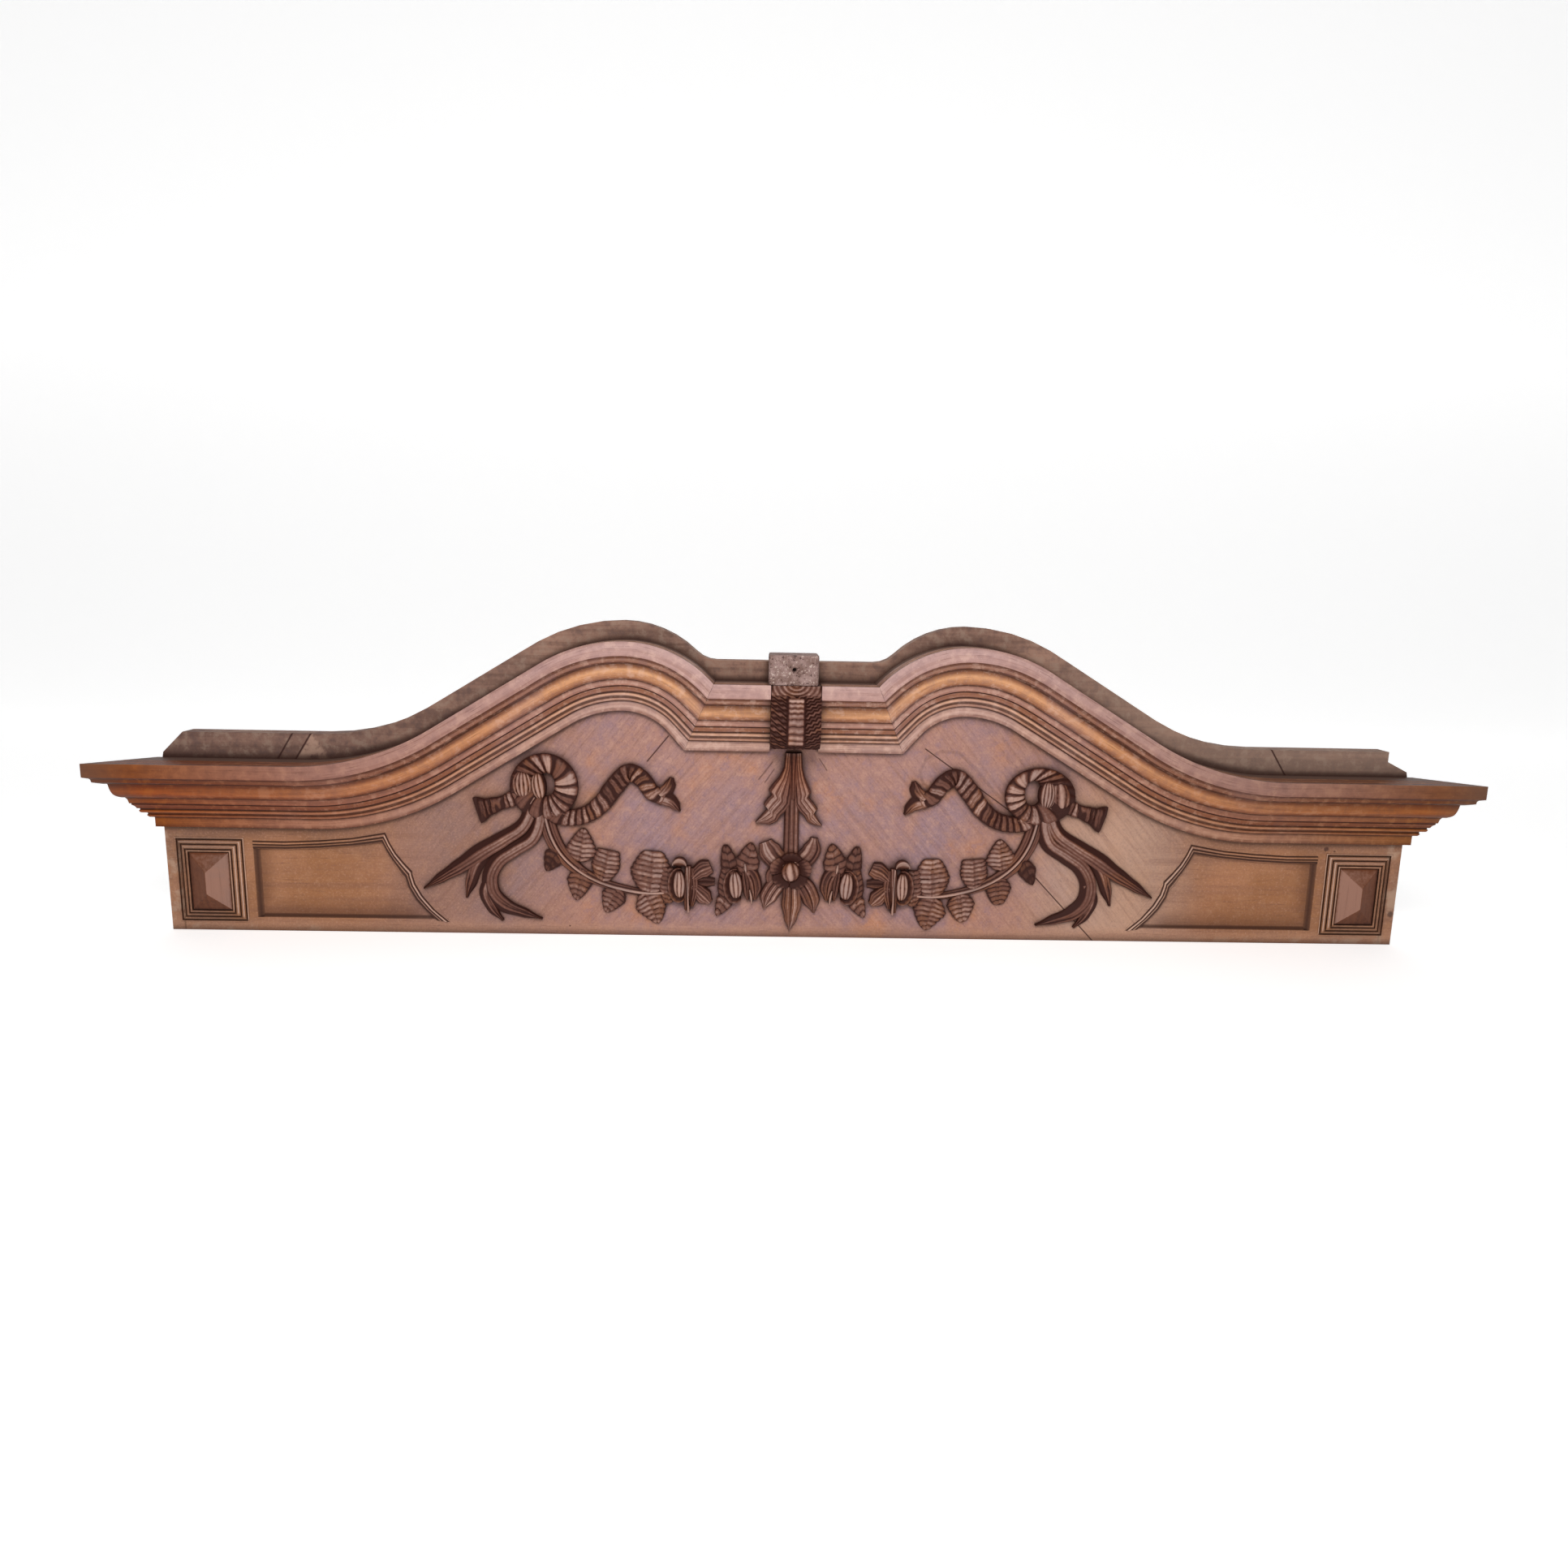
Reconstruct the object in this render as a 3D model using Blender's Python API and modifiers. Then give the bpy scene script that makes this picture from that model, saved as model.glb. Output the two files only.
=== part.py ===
"""Carved wooden pediment from the top of a wardrobe, in metres, +Z up.

X runs along the pediment, Y goes back into the wardrobe and Z is up. The origin is in the middle of
the board's underside. Carved pieces are laid out on the board's front face by (x, z, h), where h is
how far a point stands proud of that face.
"""
import math

import bmesh
import bpy
import numpy as np

# Board: one plank, frieze below and tympanum above, that rises behind the cornice.
FRIEZE_HALF = 0.800
BOARD_T = 0.027
FACE_Y = -BOARD_T / 2
BOARD_APEX_RISE = 0.0230
BOARD_CENTRE_RISE = 0.0250
BOARD_END_RISE = 0.0325
BOARD_END_CUT = 0.026
BOARD_NECK = (0.007, 0.033)
BOARD_NICK = 0.013

# Cornice: the foot line where it meets the tympanum, and what is added above it.
CORNICE_OUT = 0.060
CORNICE_H = 0.0885
FOOT_END_Z = 0.138
FOOT_CENTRE_Z = 0.247
FOOT_APEX_Z = 0.296
FOOT_APEX_X = 0.216
TOP_APEX_X = 0.2085
BOARD_APEX_X = 0.215
OUTER_SLOPE = math.radians(31.4)
INNER_SLOPE = math.radians(49.0)
SWEEP_R = 0.330
FOOT_HUMP_R = 0.125
TOP_HUMP_R = 0.190
BOARD_HUMP_R = 0.215
FOOT_INNER_R = 0.076
TOP_INNER_R = 0.145
BOARD_INNER_R = 0.130
BOARD_SWEEP_R = 0.260

# Members of the cornice from the top down: (drop, set back) from the point before.
FASCIA_H = 0.017
MEMBERS_ABOVE = ((FASCIA_H, 0.0), (0.0025, 0.006), (0.005, 0.0015))
MEMBERS_BELOW = (
    (0.0030, 0.0030), (0.0055, 0.0012), (0.0055, 0.0021), (0.0040, 0.0047), (0.0030, 0.0040),
    (0.0065, 0.0016), (0.0040, 0.0049), (0.0060, 0.0025), (0.0040, 0.0050), (0.0035, 0.0018),
    (0.0025, 0.0027), (0.0080, 0.0023),
)
SOFFIT_DROP = 0.0035
FILLET_OUT = 0.0067

# Keystone bracket and the cap block on the cornice above it.
KEY_HALF_W = 0.0305
KEY_OUT = 0.070
KEY_STRIP_HALF_W = 0.0105
KEY_STRIP_OUT = 0.004
KEY_RIDGES = 9
KEY_FOOT_LIFT = 0.010
KEY_RIDGE_DEPTH = 0.0012
KEY_CUT_DEPTH = 0.0016
KEY_CHAMFER = 0.002
CAP_HALF_W = 0.0305
CAP_SHIFT = -0.0035
CAP_H = 0.036
CAP_OUT = 0.058
CAP_BEVEL = 0.0015

# End blocks: nested bead frames round a hipped boss.
FRAME_X = (0.703, 0.787)
FRAME_Z = (0.0125, 0.1215)
FRAME_STEP_IN = 0.0070
FRAME_STEP_OUT = 0.0046
FRAME_STEP_TOP = 0.0066
FRAME_STEP_BOTTOM = 0.0045
FRAMES = 3
GROOVE_W = 0.0022
GROOVE_DEPTH = 0.0022
BOSS_FIELD_DEPTH = 0.0030
BOSS_MARGIN = 0.0012
BOSS_RIDGE_HALF = 0.0145
BOSS_H = 0.0110
BOSS_SKIRT = 0.0018
BOSS_RIDGE_W = 0.0016

# Sunk panels of the frieze, with a double bead along the top and the slanting side.
PANEL_DEPTH = 0.0028
PANEL_X = 0.690
PANEL_BOTTOM_Z = 0.0180
PANEL_TOP_Z = 0.1195
PANEL_SAG = 0.0015
PANEL_PEAK = (0.5225, 0.1305)
PANEL_STEP = ((0.496, 0.084), (0.490, 0.077))
PANEL_TIP = (0.4445, 0.0155)
BEAD_R = 0.0022
BEAD_OFFSETS = (0.0032, 0.0086)
BEAD_SHOULDER = 0.0016

# Relief of the carving above the board.
KNOT_H = 0.0170
LOOP_H = 0.0110
RIBBON_H = 0.0080
STREAMER_H = 0.0080
STEM_H = 0.0085
LEAF_H = 0.0060
PETAL_H = 0.0110
BUD_H = 0.0190
DROP_H = 0.0095

GAP = 0.0003
SINK = -0.0030
CLEAR = 0.002
TONE = (0.40, 0.235, 0.165)


def clear_scene():
    for thing in list(bpy.data.objects):
        bpy.data.objects.remove(thing, do_unlink=True)


def new_collection(name):
    collection = bpy.data.collections.new(name)
    bpy.context.scene.collection.children.link(collection)
    return collection


clear_scene()
PARTS = new_collection("carved_wood_pediment")
CUTTERS = new_collection("cutters")


def wood(name, tone, roughness=0.5):
    """Waxed wood of one tone."""
    material = bpy.data.materials.new(name)
    material.use_nodes = True
    shader = material.node_tree.nodes["Principled BSDF"]
    shader.inputs["Base Color"].default_value = (*tone, 1.0)
    shader.inputs["Roughness"].default_value = roughness
    shader.inputs["Metallic"].default_value = 0.0
    material.diffuse_color = (*tone, 1.0)
    return material


def shade(factor, tone=TONE):
    return tuple(channel * factor for channel in tone)


def add_object(name, mesh, material=None):
    """Piece if it has a material, otherwise a cutter that the render leaves out."""
    piece = bpy.data.objects.new(name, mesh)
    if material is None:
        CUTTERS.objects.link(piece)
        piece.hide_render = True
        piece.display_type = "WIRE"
    else:
        PARTS.objects.link(piece)
        mesh.materials.append(material)
    return piece


def loft(name, rings, material=None, closed=False):
    """Closed body through rings of (x, z, h) points, capped at both ends unless it is a closed ring."""
    grid = np.array(rings, dtype=float)
    count, width = grid.shape[:2]
    bm = bmesh.new()
    verts = [[bm.verts.new((x, FACE_Y - h, z)) for x, z, h in ring] for ring in grid]
    for i in range(count if closed else count - 1):
        here, there = verts[i], verts[(i + 1) % count]
        for j in range(width):
            k = (j + 1) % width
            bm.faces.new((here[j], here[k], there[k], there[j]))
    if not closed:
        bm.faces.new(verts[0])
        bm.faces.new(verts[-1])
    bmesh.ops.recalc_face_normals(bm, faces=bm.faces)
    mesh = bpy.data.meshes.new(name)
    bm.to_mesh(mesh)
    bm.free()
    return add_object(name, mesh, material)


def block(name, x_range, y_range, z_range, material=None):
    """Box between two corners."""
    bm = bmesh.new()
    bmesh.ops.create_cube(bm, size=1.0)
    spans = (x_range, y_range, z_range)
    for vert in bm.verts:
        vert.co = [low + (high - low) * (c + 0.5) for c, (low, high) in zip(vert.co, spans)]
    mesh = bpy.data.meshes.new(name)
    bm.to_mesh(mesh)
    bm.free()
    return add_object(name, mesh, material)


def plate(name, outline, y_range, material=None):
    """Flat outline of (x, z) points given the thickness between two depths."""
    curve = bpy.data.curves.new(name, "CURVE")
    curve.dimensions = "2D"
    curve.fill_mode = "BOTH"
    curve.extrude = (y_range[1] - y_range[0]) / 2
    spline = curve.splines.new("POLY")
    spline.points.add(len(outline) - 1)
    for point, (x, z) in zip(spline.points, outline):
        point.co = (x, z, 0.0, 1.0)
    spline.use_cyclic_u = True
    drawn = bpy.data.objects.new(f"{name}_outline", curve)
    PARTS.objects.link(drawn)
    drawn.rotation_euler = (math.pi / 2, 0.0, 0.0)
    drawn.location = (0.0, (y_range[0] + y_range[1]) / 2, 0.0)
    bpy.context.view_layer.update()
    evaluated = drawn.evaluated_get(bpy.context.evaluated_depsgraph_get())
    mesh = bpy.data.meshes.new_from_object(evaluated)
    mesh.materials.clear()
    bm = bmesh.new()
    bm.from_mesh(mesh)
    bmesh.ops.remove_doubles(bm, verts=bm.verts, dist=0.00001)
    bmesh.ops.recalc_face_normals(bm, faces=bm.faces)
    bm.to_mesh(mesh)
    bm.free()
    piece = add_object(name, mesh, material)
    piece.matrix_world = drawn.matrix_world.copy()
    bpy.data.objects.remove(drawn, do_unlink=True)
    return piece


def boolean(piece, operation, others):
    """Boolean modifier that works with a whole group of cutters."""
    group = bpy.data.collections.new(f"{piece.name}_{operation.lower()}")
    CUTTERS.children.link(group)
    for other in others:
        CUTTERS.objects.unlink(other)
        group.objects.link(other)
    modifier = piece.modifiers.new(operation.lower(), "BOOLEAN")
    modifier.operation = operation
    modifier.solver = "EXACT"
    modifier.operand_type = "COLLECTION"
    modifier.collection = group


def smooth_path(points, count):
    """Points read at even steps from a smooth curve through the given ones."""
    points = np.array(points, dtype=float)
    chord = np.r_[0.0, np.cumsum(np.hypot(*np.diff(points, axis=0).T))]
    slope = np.gradient(points, chord, axis=0)
    at = np.linspace(0.0, chord[-1], count)
    i = np.clip(np.searchsorted(chord, at, side="right") - 1, 0, len(chord) - 2)
    step = (chord[i + 1] - chord[i])[:, None]
    t = ((at - chord[i])[:, None]) / step
    start, end = points[i], points[i + 1]
    return ((2 * t**3 - 3 * t**2 + 1) * start + (t**3 - 2 * t**2 + t) * step * slope[i]
            + (3 * t**2 - 2 * t**3) * end + (t**3 - t**2) * step * slope[i + 1])


def side_directions(path, closed=False):
    """Unit vectors across a path, to its left."""
    if closed:
        run = np.roll(path, -1, axis=0) - np.roll(path, 1, axis=0)
    else:
        run = np.gradient(path, axis=0)
    run /= np.hypot(run[:, 0], run[:, 1])[:, None]
    return np.c_[-run[:, 1], run[:, 0]]


def spread(values, count):
    """Values spaced evenly along a path, read at each of its stations."""
    return np.interp(np.linspace(0, 1, count), np.linspace(0, 1, len(values)), values)


def band(name, path, half_widths, heights, section, closed=False):
    """Body along a path: the section holds (across, share of height) points from side to side."""
    across = side_directions(path, closed)
    rings = []
    for (x, z), (nx, nz), width, height in zip(path, across, half_widths, heights):
        first, last = section[0][0], section[-1][0]
        ring = [(x + nx * width * first, z + nz * width * first, SINK)]
        ring += [(x + nx * width * a, z + nz * width * a, height * share) for a, share in section]
        ring += [(x + nx * width * last, z + nz * width * last, SINK)]
        rings.append(ring)
    return loft(name, rings, closed=closed)


RIBBON_SECTION = ((-1.0, 0.55), (-0.45, 0.95), (0.35, 1.0), (1.0, 0.6))
RIDGED_SECTION = ((-1.0, 0.5), (0.1, 1.0), (1.0, 0.45))
LEAF_STATIONS = (
    (0.0, 0.30), (0.28, 1.0), (0.35, 0.78), (0.55, 0.86), (0.62, 0.60), (0.80, 0.52), (1.0, 0.06),
)
PETAL_STATIONS = ((0.0, 0.45), (0.35, 0.9), (0.68, 1.0), (0.90, 0.72), (1.0, 0.30))


def mirrored(points, side):
    return [(side * x, z) for x, z in points]


def midline(base, tip, bend, shares):
    """Points from base to tip, bowed sideways by bend in the middle."""
    base, tip = np.array(base), np.array(tip)
    run = tip - base
    across = np.array((-run[1], run[0]))
    return np.array([base + run * u + across * bend * math.sin(math.pi * u) for u in shares])


def leaf(name, base, tip, half_width, height=LEAF_H, bend=0.0):
    """Toothed leaf, highest along its midrib."""
    path = midline(base, tip, bend, [u for u, _ in LEAF_STATIONS])
    widths = [half_width * share for _, share in LEAF_STATIONS]
    heights = [height * (1.0 - 0.35 * u) for u, _ in LEAF_STATIONS]
    return band(name, path, widths, heights, RIDGED_SECTION)


def petal(name, base, tip, half_width, height=PETAL_H, bend=0.0):
    """Round petal that rises towards its rim."""
    path = midline(base, tip, bend, [u for u, _ in PETAL_STATIONS])
    widths = [half_width * share for _, share in PETAL_STATIONS]
    heights = [height * (0.70 + 0.30 * math.sin(math.pi * u)) for u, _ in PETAL_STATIONS]
    return band(name, path, widths, heights, ((-1.0, 0.75), (0.0, 0.9), (1.0, 0.75)))


def dome(name, centre, radii, height, segments=10, rings=6):
    """Half egg that stands on the board."""
    bm = bmesh.new()
    bmesh.ops.create_uvsphere(bm, u_segments=segments, v_segments=rings, radius=1.0)
    for vert in bm.verts:
        x, y, z = vert.co
        vert.co = (centre[0] + x * radii[0], FACE_Y - z * height, centre[1] + y * radii[1])
    bmesh.ops.recalc_face_normals(bm, faces=bm.faces)
    mesh = bpy.data.meshes.new(name)
    bm.to_mesh(mesh)
    bm.free()
    return add_object(name, mesh)


def outer_sweep(foot_z, apex, hump_r, sweep_r):
    """Outer side of a hump, from the level run up a hollow, a straight slope and a round to the apex.

    Each arc of radius r drops by r (1 - cos a) over r sin a; the straight part makes up the rest.
    """
    a = OUTER_SLOPE
    drop = apex[1] - foot_z
    straight = (drop - (hump_r + sweep_r) * (1 - math.cos(a))) / math.sin(a)
    run = (hump_r + sweep_r) * math.sin(a) + straight * math.cos(a)
    start = apex[0] + run
    hollow = [(start - sweep_r * math.sin(t), foot_z + sweep_r * (1 - math.cos(t)))
              for t in np.linspace(0, a, 24)]
    crown = [(apex[0] + hump_r * math.sin(t), apex[1] - hump_r * (1 - math.cos(t)))
             for t in np.linspace(a, 0, 24)]
    return hollow + crown


def inner_sweep(centre_z, apex, radius):
    """Inner side of a hump, from the apex round and then straight down to the level centre."""
    drop = apex[1] - centre_z
    turn = min(INNER_SLOPE, math.acos(1 - drop / radius))
    points = [(apex[0] - radius * math.sin(t), apex[1] - radius * (1 - math.cos(t)))
              for t in np.linspace(0, turn, 24)]
    left = drop - radius * (1 - math.cos(turn))
    x, z = points[-1]
    points.append((x - left / math.tan(turn), z - left))
    return points


def even(points, count):
    """The same line read at even steps of its length."""
    points = np.array(points)
    length = np.r_[0.0, np.cumsum(np.hypot(*np.diff(points, axis=0).T))]
    at = np.linspace(0.0, length[-1], count)
    return np.c_[np.interp(at, length, points[:, 0]), np.interp(at, length, points[:, 1])]


OUTER_STEPS = 12
INNER_STEPS = 6
FOOT_APEX = (FOOT_APEX_X, FOOT_APEX_Z)
TOP_APEX = (TOP_APEX_X, FOOT_APEX_Z + CORNICE_H)
FOOT_LINE = np.vstack((
    even(outer_sweep(FOOT_END_Z, FOOT_APEX, FOOT_HUMP_R, SWEEP_R), OUTER_STEPS),
    even(inner_sweep(FOOT_CENTRE_Z, FOOT_APEX, FOOT_INNER_R), INNER_STEPS)[1:],
))
TOP_LINE = np.vstack((
    even(outer_sweep(FOOT_END_Z + CORNICE_H, TOP_APEX, TOP_HUMP_R, SWEEP_R), OUTER_STEPS),
    even(inner_sweep(FOOT_CENTRE_Z + CORNICE_H, TOP_APEX, TOP_INNER_R), INNER_STEPS)[1:],
))


def cornice_profile():
    """(out, share of height) from the top edge down; the soffit takes up what the members leave."""
    soffit = CORNICE_OUT - FILLET_OUT - sum(back for _, back in MEMBERS_ABOVE + MEMBERS_BELOW)
    members = MEMBERS_ABOVE + ((SOFFIT_DROP, soffit),) + MEMBERS_BELOW
    out, height = CORNICE_OUT, CORNICE_H
    points = [(out, height)]
    for drop, back in members:
        out -= back
        height -= drop
        points.append((out, height))
    points.append((out, 0.0))
    return [(out, height / CORNICE_H) for out, height in points]


def section_ring(foot, top, side, mitre=0.0):
    """Moulding's section between its foot and top points; a mitre carries each point outwards."""
    ring = []
    for out, share in cornice_profile() + [(GAP, 0.0), (GAP, 1.0)]:
        x = foot[0] + (top[0] - foot[0]) * share + mitre * out
        ring.append((side * x, foot[1] + (top[1] - foot[1]) * share, out))
    return ring


def cornice_curve(name, side, material):
    """Curved length, from the mitred outer end over the hump to the mitre at the centre length."""
    end = [(FRIEZE_HALF, FOOT_END_Z), (FRIEZE_HALF, FOOT_END_Z + CORNICE_H)]
    rings = [section_ring(*end, side, mitre=1.0)]
    rings += [section_ring(foot, top, side) for foot, top in zip(FOOT_LINE, TOP_LINE)]
    return loft(name, rings, material)


def cornice_straight(name, side, material):
    """Short level length between the mitre and the keystone bracket."""
    inner = KEY_HALF_W + GAP
    foot, top = FOOT_LINE[-1], TOP_LINE[-1]
    ends = [((foot[0] - GAP, foot[1]), (top[0] - GAP, top[1])), ((inner, foot[1]), (inner, top[1]))]
    return loft(name, [section_ring(*end, side) for end in ends], material)


def board_half(side):
    """Edge of the board from its lower corner up the end and over the hump to the centre line."""
    end_z = FOOT_END_Z + CORNICE_H + BOARD_END_RISE
    apex = (BOARD_APEX_X, FOOT_APEX_Z + CORNICE_H + BOARD_APEX_RISE)
    centre_z = FOOT_CENTRE_Z + CORNICE_H + BOARD_CENTRE_RISE
    shoulder = FRIEZE_HALF - BOARD_NECK[0]
    cut_top = end_z - (0.0 if side < 0 else BOARD_NICK)
    edge = [(FRIEZE_HALF, 0.0), (FRIEZE_HALF, end_z - BOARD_END_CUT - BOARD_NECK[1])]
    edge += [(shoulder, end_z - BOARD_END_CUT), (shoulder - BOARD_END_CUT, cut_top)]
    if side > 0:
        edge.append((shoulder - BOARD_END_CUT, end_z))
    edge += even(outer_sweep(end_z, apex, BOARD_HUMP_R, BOARD_SWEEP_R), 16).tolist()
    turn = INNER_SLOPE * 0.9
    edge += [(apex[0] - BOARD_INNER_R * math.sin(t), apex[1] - BOARD_INNER_R * (1 - math.cos(t)))
             for t in np.linspace(0, turn, 7)[1:]]
    x, z = edge[-1]
    rest = z - centre_z
    fillet = rest / (1 - math.cos(turn))
    edge += [(x - fillet * (math.sin(turn) - math.sin(t)), centre_z + fillet * (1 - math.cos(t)))
             for t in np.linspace(turn, 0, 4)[1:]]
    return [(side * x, z) for x, z in edge]


def panel_outline(side, inset=0.0):
    """Sunk panel of the frieze: sagging top, peak, slanting side with a small step, and tip."""
    top_x = np.linspace(PANEL_X, PANEL_PEAK[0], 5)
    share = (PANEL_X - top_x) / (PANEL_X - PANEL_PEAK[0])
    top_z = PANEL_TOP_Z + (PANEL_PEAK[1] - PANEL_TOP_Z) * share**2
    top_z -= PANEL_SAG * np.sin(np.pi * share)
    slant = [PANEL_STEP[0], PANEL_STEP[1]]
    curve_x = np.linspace(PANEL_STEP[1][0], PANEL_TIP[0], 4)[1:]
    part = (PANEL_STEP[1][0] - curve_x) / (PANEL_STEP[1][0] - PANEL_TIP[0])
    curve_z = PANEL_STEP[1][1] + (PANEL_TIP[1] - PANEL_STEP[1][1]) * part
    curve_z -= 0.005 * np.sin(np.pi * part)
    line = np.array(list(zip(top_x, top_z)) + slant + list(zip(curve_x, curve_z)))
    if inset:
        line = line + side_directions(line) * inset
    return [(side * x, z) for x, z in line]


def panel_beads(side):
    """Two half-round beads that follow the panel's top and slanting side, just inside its edge."""
    beads = []
    for k, offset in enumerate(BEAD_OFFSETS):
        path = np.array(panel_outline(1, offset))
        path[0, 0] = PANEL_X - 0.001
        path[-1, 1] = max(path[-1, 1], PANEL_BOTTOM_Z)
        path[:, 0] *= side
        across = side_directions(path)
        rings = []
        for (x, z), (nx, nz) in zip(path, across):
            section = ((-1, -PANEL_DEPTH - CLEAR), (-1, -BEAD_SHOULDER), (0, 0.0),
                       (1, -BEAD_SHOULDER), (1, -PANEL_DEPTH - CLEAR))
            rings.append([(x + nx * BEAD_R * a, z + nz * BEAD_R * a, h) for a, h in section])
        beads.append(loft(f"panel_bead_{side}_{k}", rings))
    return beads


def frame_rectangle(k, shrink=0.0):
    """Edges of the k-th nested frame, counted from the outside."""
    return (
        FRAME_X[0] + FRAME_STEP_IN * k + shrink, FRAME_X[1] - FRAME_STEP_OUT * k - shrink,
        FRAME_Z[0] + FRAME_STEP_BOTTOM * k + shrink, FRAME_Z[1] - FRAME_STEP_TOP * k - shrink,
    )


def frame_grooves(side):
    """Square grooves between the nested beads, and the field that the boss stands in."""
    cutters = []
    for k in range(FRAMES):
        outer, inner = frame_rectangle(k), frame_rectangle(k, GROOVE_W)
        corners = [(0, 2), (1, 2), (1, 3), (0, 3)]
        rings = []
        for i, j in corners:
            a, b = (outer[i], outer[j]), (inner[i], inner[j])
            rings.append([(side * a[0], a[1], CLEAR), (side * b[0], b[1], CLEAR),
                          (side * b[0], b[1], -GROOVE_DEPTH), (side * a[0], a[1], -GROOVE_DEPTH)])
        cutters.append(loft(f"frame_groove_{side}_{k}", rings, closed=True))
    x0, x1, z0, z1 = frame_rectangle(FRAMES - 1, GROOVE_W * 1.9)
    span = (x0, x1) if side > 0 else (-x1, -x0)
    field = (FACE_Y - CLEAR, FACE_Y + BOSS_FIELD_DEPTH)
    cutters.append(block(f"boss_field_{side}", span, field, (z0, z1)))
    return cutters


def build_board():
    """Plank with its sunk panels, their beads and the grooves of the end frames."""
    outline = board_half(1) + board_half(-1)[::-1]
    board = plate("frieze_board", outline, (FACE_Y, FACE_Y + BOARD_T), wood("board_wood", shade(0.9)))
    sinks, beads = [], []
    for side in (-1, 1):
        floor = [(side * PANEL_TIP[0], PANEL_BOTTOM_Z), (side * PANEL_X, PANEL_BOTTOM_Z)]
        edge = [point for point in panel_outline(side) if point[1] >= PANEL_BOTTOM_Z]
        sink = (FACE_Y - CLEAR, FACE_Y + PANEL_DEPTH)
        sinks.append(plate(f"panel_sink_{side}", edge + floor, sink))
        sinks += frame_grooves(side)
        beads += panel_beads(side)
    boolean(board, "DIFFERENCE", sinks)
    boolean(board, "UNION", beads)
    return board


def build_boss(name, side):
    """Low hipped block with a short upright ridge."""
    x0, x1, z0, z1 = frame_rectangle(FRAMES - 1, GROOVE_W * 1.9 + BOSS_MARGIN)
    floor = -BOSS_FIELD_DEPTH + GAP
    mid_x, mid_z = (x0 + x1) / 2, (z0 + z1) / 2
    ridge_x = (mid_x - BOSS_RIDGE_W, mid_x + BOSS_RIDGE_W)
    ridge_z = (mid_z - BOSS_RIDGE_HALF, mid_z + BOSS_RIDGE_HALF)
    levels = [((x0, x1), (z0, z1), floor), ((x0, x1), (z0, z1), floor + BOSS_SKIRT),
              (ridge_x, ridge_z, BOSS_H)]
    rings = [[(side * xs[0], zs[0], h), (side * xs[1], zs[0], h), (side * xs[1], zs[1], h),
              (side * xs[0], zs[1], h)] for xs, zs, h in levels]
    return loft(name, rings, wood(f"{name}_wood", shade(0.95)))


def build_keystone():
    """Console bracket: ridged strip down the middle between two strips of slanting leaf cuts."""
    foot_z, top_z = FOOT_CENTRE_Z + KEY_FOOT_LIFT, FOOT_CENTRE_Z + CORNICE_H - GAP
    rings = []
    stations = KEY_RIDGES * 2 + 1
    for i, share in enumerate(np.linspace(0.0, 1.0, stations)):
        z = foot_z + (top_z - foot_z) * share
        body = KEY_OUT * (0.80 + 0.20 * math.sin(math.pi * min(1.0, share * 0.9 + 0.1)))
        body -= 0.010 * max(0.0, 1 - share * 8)
        sign = 1 if i % 2 else -1
        notch = sign * KEY_CUT_DEPTH
        strip = body + KEY_STRIP_OUT + sign * KEY_RIDGE_DEPTH
        ring = [(-KEY_HALF_W, z, GAP), (-KEY_HALF_W, z, body - notch),
                (-KEY_STRIP_HALF_W - KEY_CHAMFER, z, body + notch),
                (-KEY_STRIP_HALF_W, z, strip),
                (KEY_STRIP_HALF_W, z, strip),
                (KEY_STRIP_HALF_W + KEY_CHAMFER, z, body + notch),
                (KEY_HALF_W, z, body - notch), (KEY_HALF_W, z, GAP)]
        rings.append(ring)
    return loft("keystone_bracket", rings, wood("keystone_wood", shade(0.75)))


def build_cap():
    """Rough square block standing on the cornice over the bracket."""
    base = FOOT_CENTRE_Z + CORNICE_H + GAP
    cap = block("cap_block", (CAP_SHIFT - CAP_HALF_W, CAP_SHIFT + CAP_HALF_W),
                (FACE_Y - CAP_OUT, FACE_Y - GAP), (base, base + CAP_H), wood("cap_wood", shade(1.05)))
    bevel = cap.modifiers.new("worn_edges", "BEVEL")
    bevel.width = CAP_BEVEL
    bevel.segments = 1
    return cap


def carve(name, material, bodies):
    """One carving: its bodies joined, then cut flat just clear of the board's face."""
    first, rest = bodies[0], bodies[1:]
    CUTTERS.objects.unlink(first)
    PARTS.objects.link(first)
    first.name = name
    first.hide_render = False
    first.display_type = "TEXTURED"
    first.data.materials.append(material)
    boolean(first, "UNION", rest)
    back = block(f"{name}_back", (-1.0, 1.0), (FACE_Y - GAP, FACE_Y + 0.1), (-0.2, 0.7))
    boolean(first, "DIFFERENCE", [back])
    return first


LOOP_CENTRE = (0.315, 0.199)
LOOP_RADII = (0.0285, 0.0275)
LOOP_HALF_W = 0.0140
KNOT_CENTRE = (0.331, 0.199)
KNOT_RADII = (0.0215, 0.0235)
WAVY_TAIL = ((0.316, 0.162), (0.288, 0.157), (0.264, 0.161), (0.242, 0.177), (0.2265, 0.198),
             (0.2075, 0.217), (0.190, 0.207), (0.178, 0.191), (0.163, 0.185))
OUTER_TAIL = ((0.340, 0.190), (0.360, 0.178), (0.379, 0.172), (0.401, 0.165))
STREAMER_A = ((0.334, 0.182), (0.336, 0.162), (0.344, 0.145), (0.370, 0.124), (0.398, 0.108),
              (0.422, 0.090), (0.447, 0.074), (0.472, 0.061))
STREAMER_B = ((0.326, 0.180), (0.325, 0.155), (0.331, 0.132), (0.358, 0.113), (0.381, 0.096),
              (0.389, 0.078), (0.388, 0.056), (0.372, 0.038), (0.348, 0.029), (0.323, 0.021))
FORK_A = ((0.392, 0.112), (0.406, 0.090), (0.413, 0.067), (0.4195, 0.047))
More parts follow.
